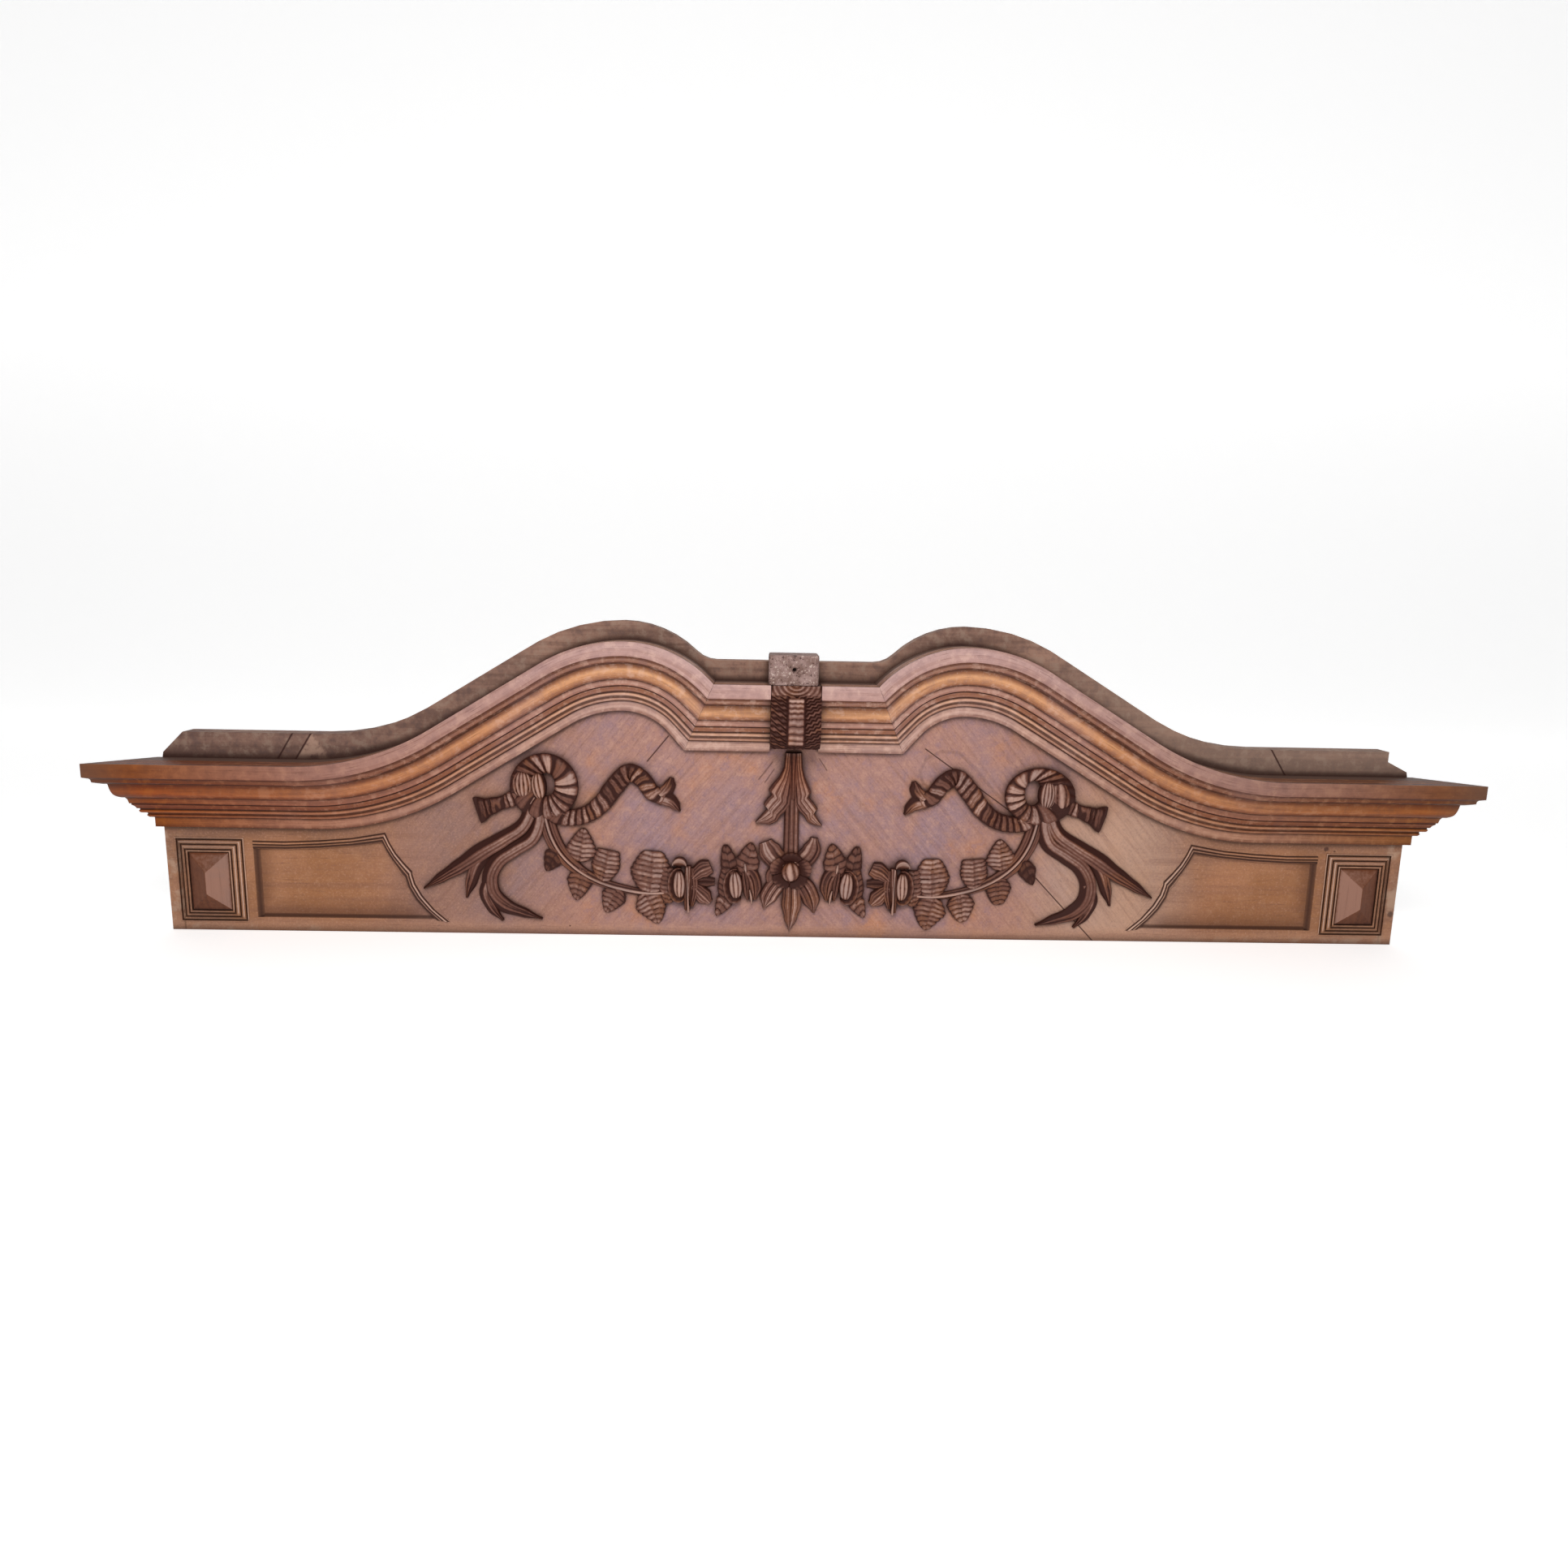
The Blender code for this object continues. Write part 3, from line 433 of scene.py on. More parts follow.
def board_places(finish):
    """Places, grain and masks that the face, the bare wood and the marks share.

    The slanting grain is read at a place turned by its slope, from the distance to the middle and the
    height, so it runs down and outwards on both sides.
    """
    place = finish.coordinates()
    across, up = finish.axis(place, "X"), finish.axis(place, "Z")
    reach = across.maths("ABSOLUTE")
    c, s = math.cos(math.radians(GRAIN_SLOPE)), math.sin(math.radians(GRAIN_SLOPE))
    turned = finish.node("ShaderNodeCombineXYZ", {"X": reach * c - up * s, "Y": reach * s + up * c})
    streaks, pores, patches = grain(finish, turned, 9.0, 190.0)
    level_streaks, level_pores, _ = grain(finish, place, 3.0, 90.0)
    frieze = reach.between(0.43, 0.50) * (1 - up.between(0.128, 0.142))
    frieze = frieze.maths("MAXIMUM", 1 - up.between(0.010, 0.020))
    stops = [(min(x / FRIEZE_HALF, 1.0), (z / RAMP_TOP_Z,) * 3 + (1.0,)) for x, z in CORNICE_TOP_Z]
    above = up - finish.node("ShaderNodeValToRGB", {0: reach / FRIEZE_HALF}, stops=stops) * RAMP_TOP_Z
    behind = finish.axis(place, "Y").between(FACE_Y + 0.0040, FACE_Y + 0.0050)
    return SimpleNamespace(
        place=place, across=across, up=up, reach=reach, patches=patches, level_streaks=level_streaks,
        streaks=streaks + (level_streaks - streaks) * frieze, pores=pores + (level_pores - pores) * frieze,
        cloud=finish.noise(place, 75.0, 4.0, 0.65), outward=reach.between(0.16, 0.62),
        above=above, band=above.between(-0.02, -0.018), behind=behind, front=1 - behind,
    )


# %% Board tones


def polished_face(finish, at):
    """Mauve-pink middle and orange-brown ends, then paler and greyer sides, grain and specks over both."""
    middle = finish.layered(
        tone(166, 124, 112),
        (at.patches.between(0.38, 0.62), tone(152, 122, 126)),
        (finish.noise(at.place, 14.0, 4.0).between(0.52, 0.72), tone(180, 126, 98)),
        (at.cloud.between(0.50, 0.66) * 0.55, tone(184, 142, 126)),
        ((1 - at.cloud.between(0.34, 0.50)) * 0.50, tone(140, 112, 122)),
    )
    end = finish.layered(
        tone(152, 102, 66),
        (at.patches.between(0.35, 0.65), tone(136, 98, 76)),
        (finish.noise(at.place, 11.0, 3.0).between(0.44, 0.62) * 0.45, tone(176, 124, 92)),
        (at.cloud.between(0.46, 0.68) * 0.5, tone(164, 116, 82)),
    )
    pale_right = at.across.between(0.27, 0.38) * (1 - at.across.between(0.44, 0.56))
    grey_left = at.across.between(-0.54, -0.44) * (1 - at.across.between(-0.38, -0.26))
    # Painted shade on the board just under the cornice.
    shade_under_cornice = at.up.between(0.116, 0.140) * at.reach.between(0.46, 0.62)
    speckle = finish.noise(at.place, 360.0, 4.0, 0.75)
    # The mauve middle and orange-brown ends are partly the wood's colour and partly painted light: cooler
    # light in the middle, darker and warmer shade towards the ends.
    return finish.layered(
        finish.mix(at.outward, middle, end),
        (pale_right * (1 - at.up.between(0.15, 0.24)) * 0.55, tone(200, 164, 140)),
        (grey_left * 0.35, tone(136, 108, 102)),
        ((1 - at.up.between(0.006, 0.024)) * 0.5, tone(176, 132, 106)),
        (shade_under_cornice * 0.45, tone(104, 76, 64)),
        (at.streaks.between(0.42, 0.70) * 0.32, tone(120, 82, 68)),
        (at.pores * 0.28, tone(96, 62, 50)),
        (speckle.between(0.52, 0.66) * 0.22, tone(205, 160, 140)),
        ((1 - speckle.between(0.34, 0.48)) * 0.24, tone(104, 78, 84)),
    )


BAND_JOINTS = (((-0.629, 0.262), (-0.654, 0.221)), ((-0.606, 0.262), (-0.630, 0.224)),
               ((0.612, 0.262), (0.636, 0.224)))


def bare_wood(finish, at):
    """Unpolished band and back, with a fresh patch beside one joint and painted shadow along the cornice's
    top.
    """
    (joint_x, joint_z), _ = BAND_JOINTS[1]
    beside, below = at.across - joint_x, joint_z - at.up
    fresh = (beside + below * 0.63).between(0.0, 0.003)
    fresh = fresh * (1 - (beside - below * 0.60).between(-0.004, 0.003))
    # Painted shadow where the band meets the top of the cornice.
    contact_shadow = 1 - at.above.between(0.0, 0.009)
    return finish.layered(
        tone(178, 138, 118),
        (at.patches.between(0.3, 0.7), tone(144, 112, 98)),
        (at.level_streaks.between(0.35, 0.7) * 0.6, tone(96, 70, 60)),
        (at.outward * 0.35, tone(92, 70, 68)),
        (at.cloud.between(0.48, 0.64) * 0.45, tone(168, 144, 128)),
        ((1 - at.cloud.between(0.34, 0.50)) * 0.40, tone(84, 70, 72)),
        (at.across.between(0.25, 0.50) * 0.35, tone(176, 150, 132)),
        (fresh * at.cloud.between(0.34, 0.54) * at.front * 0.6, tone(196, 160, 140)),
        (contact_shadow * at.band * at.front * 0.65, tone(58, 36, 34)),
    )


# %% [markdown]
# Age has left its marks on the front: open joints, a few worm holes, the ghost of a ribbon that once sat
# elsewhere, polish gone dark in the panels' corners, rubbed edges and three bruises at the right end.

# %% Marks of age
GLUE_JOINTS = (((-0.159, 0.264), (-0.186, 0.231)), ((0.168, 0.253), (0.2820, 0.173)),
               ((0.320, 0.085), (0.401, 0.0)))
GHOST_RIBBON = ((0.1677, 0.206), (0.1627, 0.224), (0.1703, 0.241), (0.1886, 0.250), (0.2105, 0.249),
                (0.2312, 0.231), (0.2591, 0.199), (0.278, 0.182))
GHOST_LEAVES = (((-0.0265, 0.2330), (-0.0330, 0.2240), (-0.0440, 0.2100)),
                ((-0.0240, 0.2240), (-0.0360, 0.2060)), ((0.0330, 0.2380), (0.0430, 0.2230)))
BRUISES = ((0.7960, 0.0420, 0.0050), (0.7000, 0.1290, 0.0040), (0.7110, 0.1265, 0.0030))


def board_marks(finish, at):
    """Joints, ghosts and worm holes: a hole is the middle of one cell in seven of a cell pattern."""
    marks = [line_mask(at, *joint, 0.0011) * (1 - at.band) for joint in GLUE_JOINTS]
    marks += [line_mask(at, *joint, 0.0014) * at.band for joint in BAND_JOINTS]
    marks.append(polyline_mask(at, GHOST_RIBBON, 0.0030) * 0.22)
    marks += [polyline_mask(at, points, 0.0010) * 0.6 for points in GHOST_LEAVES]
    flat = finish.node("ShaderNodeCombineXYZ", {"X": at.across, "Y": at.up, "Z": 0.0})
    sockets = {"Vector": flat, "Scale": 21.0}
    from_middle = finish.node("ShaderNodeTexVoronoi", sockets, out="Distance")
    number = finish.axis(finish.node("ShaderNodeTexVoronoi", sockets, out="Color"), "X")
    marks.append((1 - from_middle.between(0.014, 0.024)) * number.between(0.86, 0.87))
    return largest(marks) * at.front


def board_wear(finish, colour, at):
    """Dark polish in the panels' corners, a struck line beside the end frames, rubbed rims and bruises."""
    inward = PANEL_X - at.reach
    near_edge = inward.maths("MINIMUM", at.up - PANEL_BOTTOM_Z)
    in_panel = inward.between(0.0, 0.001) * at.reach.between(0.46, 0.50)
    in_panel = in_panel * at.up.between(0.018, 0.019) * (1 - at.up.between(0.108, 0.112))
    struck = at.reach.between(0.7822, 0.7832) * (1 - at.reach.between(0.7836, 0.7860))
    rim = at.reach.between(0.778, 0.787).maths("MAXIMUM", 1 - at.up.between(0.003, 0.012))
    rubbed = finish.noise(at.place, 42.0, 4.0, 0.6).between(0.46, 0.62) * at.reach.between(0.40, 0.76)
    colour = finish.layered(
        colour,
        ((1 - near_edge.between(0.0, 0.034)) * in_panel * at.front * 0.62, tone(92, 54, 34)),
        (struck * (1 - at.up.between(0.120, 0.126)) * at.front * 0.5, tone(70, 42, 28)),
        (rubbed * rim * (1 - at.band) * at.front * 0.55, tone(180, 152, 130)),
    )
    for x, z, radius in BRUISES:
        dx, dz = at.across - x, at.up - z
        away = (dx * dx + dz * dz).maths("SQRT") + (at.cloud - 0.5) * 0.008
        bruise = (1 - away.between(radius * 0.4, radius)) * at.front
        colour = finish.mix(bruise * 0.75, colour, tone(62, 36, 32))
    return colour


def board_finish():
    """Polish on the face, bare wood on the band, the edges and the back, and dirt and painted shade in every
    corner.
    """
    finish = Finish("board_polish", Specular_IOR_Level=0.2)
    at = board_places(finish)
    marks = board_marks(finish, at)
    colour = finish.mix(at.band.maths("MAXIMUM", at.behind), polished_face(finish, at), bare_wood(finish, at))
    colour = board_wear(finish, finish.mix(marks * 0.85, colour, tone(62, 36, 32)), at)
    deep = finish.attribute("hollow")
    # The hollow value darkens quirks and pales rubbed crests; on the coves and the sides of the frame beads
    # it is painted shade. The corner term is dirt and painted shade.
    colour = finish.layered(
        colour,
        (deep.between(0.05, 0.95) * 0.92, tone(50, 23, 14)),
        ((deep * -1).between(0.02, 0.55) * 0.60, tone(232, 200, 184)),
        (finish.dirt_and_shade_in_corners(0.012, 0.45, 0.98, samples=6) * 0.80, tone(54, 26, 16)),
    )
    roughness = 0.46 + at.streaks * 0.12 + at.band * 0.25 + marks * 0.2
    relief = 1 - at.pores * 0.30 - at.streaks * 0.25 - marks * 1.2
    return finish.finish(colour, roughness, relief, 0.00045)


# %% [markdown]
# Carvings are darkest in their cuts and rubbed pale on their ridges. The shape itself says which is
# which: each point carries its hollow value, and the finish mixes three tones by it. The same value also
# holds painted shade: along the edges of each strip, on one edge of each hanging ribbon, at the foot of
# each pleat, on one half of each smooth leaf, beside the knots and on the facets of the end blocks.

# %% Carving finish


def end_tone_and_shade(finish, colour, reach, warm):
    """Towards both ends the wood is darker and more orange, partly its own colour and partly painted shade: a
    mix by the distance from the middle.
    """
    return finish.mix(reach.between(0.22, 0.80, smooth=False), colour, warm, "MULTIPLY")


def carving_finish(name, ridge, body, cut):
    """Ridge, body and cut tones, laid on by the hollow value with some noise to break its edge."""
    finish = Finish(name, Specular_IOR_Level=0.2)
    place = finish.coordinates()
    reach, up = finish.axis(place, "X").maths("ABSOLUTE"), finish.axis(place, "Z")
    streaks, pores, patches = grain(finish, finish.coordinates("UV"), 12.0, 190.0)
    ragged = finish.noise(place, 240.0, 3.0, 0.6)
    deep = finish.attribute("hollow") + (ragged - 0.5) * 0.35 + (patches - 0.5) * 0.45
    drift = finish.noise(place, 26.0, 2.0)
    body = finish.mix((1 - drift.between(0.36, 0.50)) * 0.6, body, tone(124, 76, 48))
    colour = finish.layered(
        finish.mix(drift.between(0.46, 0.60) * 0.75, ridge, tone(160, 132, 124)),
        (deep.between(0.05, 0.42), body),
        (deep.between(0.40, 0.88), cut),
        (streaks.between(0.45, 0.75) * 0.35, cut),
    )
    # Darker, more orange ends: partly the wood's colour, partly painted shade.
    colour = end_tone_and_shade(finish, colour, reach, tone(225, 205, 190))
    root = (1 - reach.between(0.020, 0.050)) * up.between(0.175, 0.225) * (1 - up.between(0.240, 0.247))
    colour = finish.mix(root, colour, tone(255, 218, 184), "MULTIPLY")
    # Dirt and painted shade in the corners round each carving.
    colour = finish.mix(finish.dirt_and_shade_in_corners(0.008, 0.35, 0.95) * 0.72, colour, tone(58, 26, 17))
    relief = 1 - streaks * 0.5 - pores * 0.3 + ragged * 0.25
    return finish.finish(colour, 0.40 + deep.between(0.2, 0.9) * 0.25, relief, 0.0003)


# %% [markdown]
# Each member of the cornice has its own tone: hands rubbed the rounds, the quirks are darker, and the
# faces under the fascia carry painted shade. The second UV coordinate runs round the profile, so one
# colour ramp paints all members.

# %% Moulding finish


def moulding_finish(members):
    """Tone of each member by its place round the profile, then grain, specks, and warmer ends."""
    finish = Finish("moulding_polish", Specular_IOR_Level=0.2)
    place, metres = finish.coordinates(), finish.coordinates("UV")
    across = finish.axis(place, "X")
    reach = across.maths("ABSOLUTE")
    streaks, pores, patches = grain(finish, metres, 3.0, 160.0)
    sway = (finish.noise(metres, 30.0, 2.0) - 0.5) * 0.0016
    round_it = (finish.axis(metres, "Y") + sway) / PROFILE_GIRTH[-1]
    cloud = finish.noise(place, 85.0, 4.0, 0.65)
    colour = finish.layered(
        finish.node("ShaderNodeValToRGB", {0: round_it}, stops=members),
        (patches.between(0.46, 0.66) * 0.35, tone(168, 140, 142)),
        (streaks.between(0.42, 0.70) * 0.45, tone(118, 70, 48)),
        (pores * 0.40, tone(96, 54, 38)),
        (finish.noise(place, 420.0, 2.0).between(0.66, 0.74) * 0.5, tone(205, 180, 168)),
        (cloud.between(0.50, 0.66) * 0.30, tone(222, 186, 170)),
        ((1 - cloud.between(0.34, 0.50)) * 0.25, tone(120, 92, 96)),
    )
    to_right = across.between(-0.10, 0.10)
    fascia_tint = finish.mix(to_right, tone(182, 124, 56), tone(170, 130, 84))
    low_tint = finish.mix(to_right, tone(186, 122, 32), tone(186, 142, 76))
    # Darker, more orange ends: partly the wood's colour, partly painted shade.
    colour = end_tone_and_shade(finish, colour, reach, finish.mix(round_it.between(0.17, 0.22), fascia_tint, low_tint))
    deep = finish.attribute("hollow")
    colour = finish.layered(
        colour,
        (reach.between(0.790, 0.870) * 0.60, tone(92, 70, 58)),
        (round_it.between(1.02, 1.10), tone(104, 80, 70)),
        (deep.between(0.25, 0.9), tone(60, 28, 18)),
        # Dirt and painted shade in the moulding's corners.
        (finish.dirt_and_shade_in_corners(0.012, 0.35, 0.90) * 0.7, tone(52, 26, 18)),
    )
    relief = 1 - streaks * 0.4 - pores * 0.35
    return finish.finish(colour, 0.42 + streaks * 0.15 + deep * 0.2, relief, 0.0004)


# %% [markdown]
# The block over the bracket was never polished or even planed. Two noises give it a dusty, pitted skin.

# %% Raw wood finish


def raw_finish():
    """Dusty unpolished wood with pin holes and pale specks."""
    finish = Finish("raw_wood", Specular_IOR_Level=0.2)
    place = finish.coordinates()
    mottle, specks = finish.noise(place, 95.0, 5.0, 0.65), finish.noise(place, 330.0, 2.0)
    colour = finish.layered(
        tone(152, 126, 120),
        (mottle.between(0.36, 0.66), tone(118, 92, 84)),
        (specks.between(0.60, 0.68) * 0.8, tone(192, 172, 162)),
        ((1 - specks.between(0.33, 0.40)) * 0.8, tone(66, 44, 40)),
        (finish.attribute("hollow").between(0.2, 0.8), tone(34, 20, 18)),
    )
    return finish.finish(colour, 0.78, mottle * 0.6 + specks * 0.5, 0.0008)


# %% [markdown]
# The guide lines are arcs and straights like those a joiner would set out: level run, hollow arc,
# straight slope, round over the apex, and a second round down to the inner corner.

# %% Cornice guide lines
FOOT_END_Z, FOOT_CENTRE_Z, FOOT_APEX_Z = 0.138, 0.247, 0.296
OUTER_SLOPE, INNER_SLOPE = math.radians(31.4), math.radians(49.0)
FOOT_GUIDE = {"apex_x": 0.216, "lift": 0.0, "hump": 0.125, "inner": 0.076}
TOP_GUIDE = {"apex_x": 0.2085, "lift": CORNICE_H, "hump": 0.190, "inner": 0.145}
SWEEP_R = 0.330
OUTER_STEPS, INNER_STEPS, LEVEL_STEPS = 90, 46, 40


def evenly(points, count):
    """The same line read at even steps."""
    points = np.array(points)
    length = along(points)
    at = np.linspace(0.0, length[-1], count)
    return np.c_[np.interp(at, length, points[:, 0]), np.interp(at, length, points[:, 1])]


def guide_line(apex_x, lift, hump, inner):
    """An arc of radius r from level to slope a rises r (1 - cos a) over r sin a; a straight does the rest."""
    a = OUTER_SLOPE
    apex_z, end_z, centre_z = FOOT_APEX_Z + lift, FOOT_END_Z + lift, FOOT_CENTRE_Z + lift
    straight = (apex_z - end_z - (hump + SWEEP_R) * (1 - math.cos(a))) / math.sin(a)
    start = apex_x + (hump + SWEEP_R) * math.sin(a) + straight * math.cos(a)
    t = np.linspace(0, a, 60)
    hollow = np.c_[start - SWEEP_R * np.sin(t), end_z + SWEEP_R * (1 - np.cos(t))]
    crown = np.c_[apex_x + hump * np.sin(t[::-1]), apex_z - hump * (1 - np.cos(t[::-1]))]
    drop = apex_z - centre_z
    turn = min(INNER_SLOPE, math.acos(1 - drop / inner))
    t = np.linspace(0, turn, 40)
    fall = np.c_[apex_x - inner * np.sin(t), apex_z - inner * (1 - np.cos(t))]
    left = drop - inner * (1 - math.cos(turn))
    fall = np.vstack((fall, (fall[-1, 0] - left / math.tan(turn), centre_z)))
    return np.vstack((evenly(np.vstack((hollow, crown)), OUTER_STEPS), evenly(fall, INNER_STEPS)[1:]))


FOOT_LINE, TOP_LINE = guide_line(**FOOT_GUIDE), guide_line(**TOP_GUIDE)
BACK_GAP = 0.0003


def moulding(foot, top, side, mitre, seed):
    """Profile carried along both lines: a point at share s of the height lies s of the way between them.

    A mitre of 1 carries a point outwards by as much as it stands proud. Low waves of two tenths of a
    millimetre keep the long members from looking machined.
    """
    run = along((foot + top) / 2)
    uneven = wavering(run, (0.31, 0.17, 0.083), seed, 0.00035)[:, None]
    worn = wavering(run, (0.041, 0.023, 0.013), seed + 1, 0.00018)[:, None]
    arris = np.exp(-((PROFILE_SHARE - 0.81) / 0.02) ** 2) + np.exp(-((PROFILE_SHARE - 0.99) / 0.02) ** 2)
    out = PROFILE[:, 0] + uneven * (PROFILE_SHARE < 0.95) * 0.6 - np.abs(worn) * arris
    out = np.minimum(out, PROFILE[:, 0].max())
    x = foot[:, :1] + (top[:, :1] - foot[:, :1]) * PROFILE_SHARE + mitre[:, None] * out
    z = foot[:, 1:] + (top[:, 1:] - foot[:, 1:]) * PROFILE_SHARE
    back_x = np.c_[foot[:, 0], top[:, 0]] + mitre[:, None] * BACK_GAP
    x, z = np.c_[x, back_x], np.c_[z, foot[:, 1], top[:, 1]]
    out = np.c_[out, np.full((len(foot), 2), BACK_GAP)]
    girth = np.r_[PROFILE_GIRTH, PROFILE_GIRTH[-1] + np.array((0.01, 0.10))]
    metres = np.stack(np.broadcast_arrays(run[:, None], girth), -1)
    hollow = np.r_[PROFILE_HOLLOW, 0.3, 0.3]
    return skin(on_face(side * x, z, out), hollow, metres)


def from_end(line):
    """Level run from the mitred outer end, joined to a guide line that starts at the same height."""
    x = np.linspace(FRIEZE_HALF, line[0, 0] + 0.006, LEVEL_STEPS)
    return np.vstack((np.c_[x, np.full(LEVEL_STEPS, line[0, 1])], line))


def curved_length(side):
    """From the mitred outer end, along the level run and over the hump."""
    foot, top = from_end(FOOT_LINE), from_end(TOP_LINE)
    mitre = np.zeros(len(foot))
    mitre[0] = 1.0
    return moulding(foot, top, side, mitre, seed=7 + side)


def level_length(side):
    """Short length between the inner mitre and the bracket."""
    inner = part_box("keystone_bracket")[1].x + BACK_GAP
    share = np.linspace(0, 1, 24)[:, None]
    foot, top = (line[-1] - (BACK_GAP, 0) for line in (FOOT_LINE, TOP_LINE))
    foot = foot + ((inner, foot[1]) - foot) * share
    top = top + ((inner, top[1]) - top) * share
    return moulding(foot, top, side, np.zeros(24), seed=21 + side)


# %% Cornice pieces
# Height on the profile in millimetres, and the tone there; the dark tones from 70.8 to 61.8 mm are painted
# shade under the fascia.
MEMBER_TONES = (
    (88.5, (182, 148, 142)), (78.0, (184, 148, 141)), (71.9, (176, 138, 130)), (70.8, (112, 70, 52)),
    (68.6, (120, 76, 58)), (67.4, (160, 116, 96)), (65.0, (146, 102, 84)), (64.0, (84, 48, 34)),
    (61.8, (78, 44, 30)), (59.0, (168, 110, 76)), (53.5, (212, 156, 112)), (47.5, (202, 144, 102)),
    (43.4, (150, 98, 70)), (41.5, (76, 42, 30)), (39.4, (168, 122, 104)), (36.5, (182, 138, 122)),
    (33.9, (160, 112, 94)), (32.6, (82, 46, 34)), (31.0, (158, 106, 78)), (28.2, (150, 98, 72)),
    (25.6, (72, 40, 28)), (23.6, (196, 146, 116)), (21.4, (206, 160, 134)), (19.6, (76, 42, 30)),
    (17.0, (176, 126, 100)), (15.0, (182, 134, 108)), (12.6, (84, 50, 38)), (10.5, (190, 150, 134)),
    (5.0, (192, 154, 138)), (0.4, (140, 100, 86)),
)


def member_stops():
    """Colour stops: each height down the profile becomes the share of the way round at that height."""
    drop, order = -PROFILE[:, 1] * 1000, np.argsort(-PROFILE[:, 1], kind="stable")
    girth = np.interp([-height for height, _ in MEMBER_TONES], drop[order], PROFILE_GIRTH[order])
    places = (girth / PROFILE_GIRTH[-1]).tolist()
    return [(place, tone(*colour)) for place, (_, colour) in zip(places, MEMBER_TONES)]


cornice_polish = moulding_finish(member_stops())
carving_polish = carving_finish("carving_polish", tone(178, 142, 128), tone(110, 71, 59), tone(56, 25, 18))
block_polish = carving_finish("block_polish", tone(168, 134, 122), tone(116, 72, 48), tone(56, 26, 14))
for word, side in SIDES:
    piece(f"moulding_{word}", [curved_length(side)], cornice_polish, [f"cornice_curve_{word}"])
    piece(f"short_moulding_{word}", [level_length(side)], cornice_polish,
          [f"cornice_straight_{word}"])

# %% [markdown]
# The flat carvings are all made in one way: a path is drawn on the board, and a strip of wood follows
# it. Its width, its height and the depth of its cuts are given by functions of two numbers, u along the
# strip from 0 to 1 and v across it from -1 to 1. A ribbon differs from a leaf only in those functions.

# %% Relief strips
FOOT = -0.0004


def sheet(edge_a, edge_b, height, hollow, side=1, across=17, closed=False, foot=FOOT):
    """Body between two edges: v = -1 lies on edge_b and v = 1 on edge_a. Both edges go straight down."""
    edge_a, edge_b = np.asarray(edge_a), np.asarray(edge_b)
    n = len(edge_a)
    u = (np.arange(n) / (n if closed else n - 1))[:, None]
    v = np.sin(np.linspace(-math.pi / 2, math.pi / 2, across))[None, :]
    middle, half = (edge_a + edge_b) / 2, (edge_a - edge_b) / 2
    x = middle[:, :1] + half[:, :1] * v
    z = middle[:, 1:] + half[:, 1:] * v
    proud = np.broadcast_to(height(u, v), (n, across))
    dark = np.clip(np.broadcast_to(hollow(u, v), (n, across)), -1, 1)
    ends = np.full((n, 1), foot)
    x, z = np.c_[x[:, :1], x, x[:, -1:]], np.c_[z[:, :1], z, z[:, -1:]]
    # The walls down to the board take the darkest tone: dirt and painted shade round each strip.
    proud, dark = np.c_[ends, proud, ends], np.pad(dark, ((0, 0), (1, 1)), constant_values=1.0)
    run, wide = along(middle)[:, None], np.hypot(*half.T)[:, None]
    metres = np.stack(np.broadcast_arrays(run, np.c_[-wide - 0.01, wide * v, wide + 0.01]), -1)
    return skin(on_face(side * x, z, proud), dark, metres, closed)


def strip(path, half_width, height, hollow, side=1, across=17, foot=FOOT):
    """Sheet whose edges lie a half width to the left and right of a path; half_width is a function of u."""
    path = np.array(path, dtype=float)
    u = (np.arange(len(path)) / (len(path) - 1))[:, None]
    left = to_left(path) * np.broadcast_to(half_width(u), (len(path), 1))
    return sheet(path + left, path - left, height, hollow, side, across, foot=foot)


def shares(*values):
    """Function of u that passes evenly through the given values on a smooth step between each two."""
    def read(u):
        place = np.asarray(u) * (len(values) - 1)
        i = np.clip(place.astype(int), 0, len(values) - 2)
        t = place - i
        t = t * t * (3 - 2 * t)
        table = np.array(values)
        return table[i] * (1 - t) + table[i + 1] * t
    return read


def crest(v, edge, power=2.0):
    """Crown across a strip: 1 along the middle, and the edge's share at both sides."""
    return 1 - (1 - edge) * np.abs(v) ** power


def groove(phase, sharpness=2.2):
    """1 in a narrow cut at each whole number of the phase and 0 on the round back between two cuts."""
    return 1 - np.abs(np.sin(math.pi * phase)) ** (1 / sharpness)


def fold(phase):
    """Pleat: it swells from 0 and falls off sharply at each whole number of the phase."""
    t = np.mod(phase, 1.0)
    return np.sin(math.pi * t**1.5) ** 0.7


def patchy(phase, seed):
    """One random number from 0 to 1 for each pleat, so that some look darker than the next."""
    numbers = np.random.default_rng(seed).uniform(0, 1, 64)
    return numbers[np.mod(np.floor(phase).astype(int), 64)]


# %% [markdown]
# The ribbon is cut as a run of pleats. Each one rises and then drops sharply, on a slant, and painted
# shade lies on the steep side of each.

# %% Ribbons


def pleats(u, v, count, seed, slant):
    """Running number of the pleat at each point; slow waves make some pleats wide and some narrow."""
    sway = 0.40 * np.sin(2 * math.pi * 2.3 * u + seed) + 0.08 * np.sin(2 * math.pi * 7 * u + 2 * seed)
    return u * count + sway + slant * v + 0.04 * np.sin(5 * v + 9 * u)


def pleat_tone(phase, seed):
    """Narrow painted shade at the foot of each pleat; whole pleats are darker or paler by a random number
    each.
    """
    fine = 0.24 * groove(phase * 3 + 0.3, 1.6) + 0.06 * np.sin(2 * math.pi * phase * 7)
    return 1.3 * (1 - fold(phase)) ** 2.6 + 0.48 * patchy(phase, seed) ** 1.8 + fine


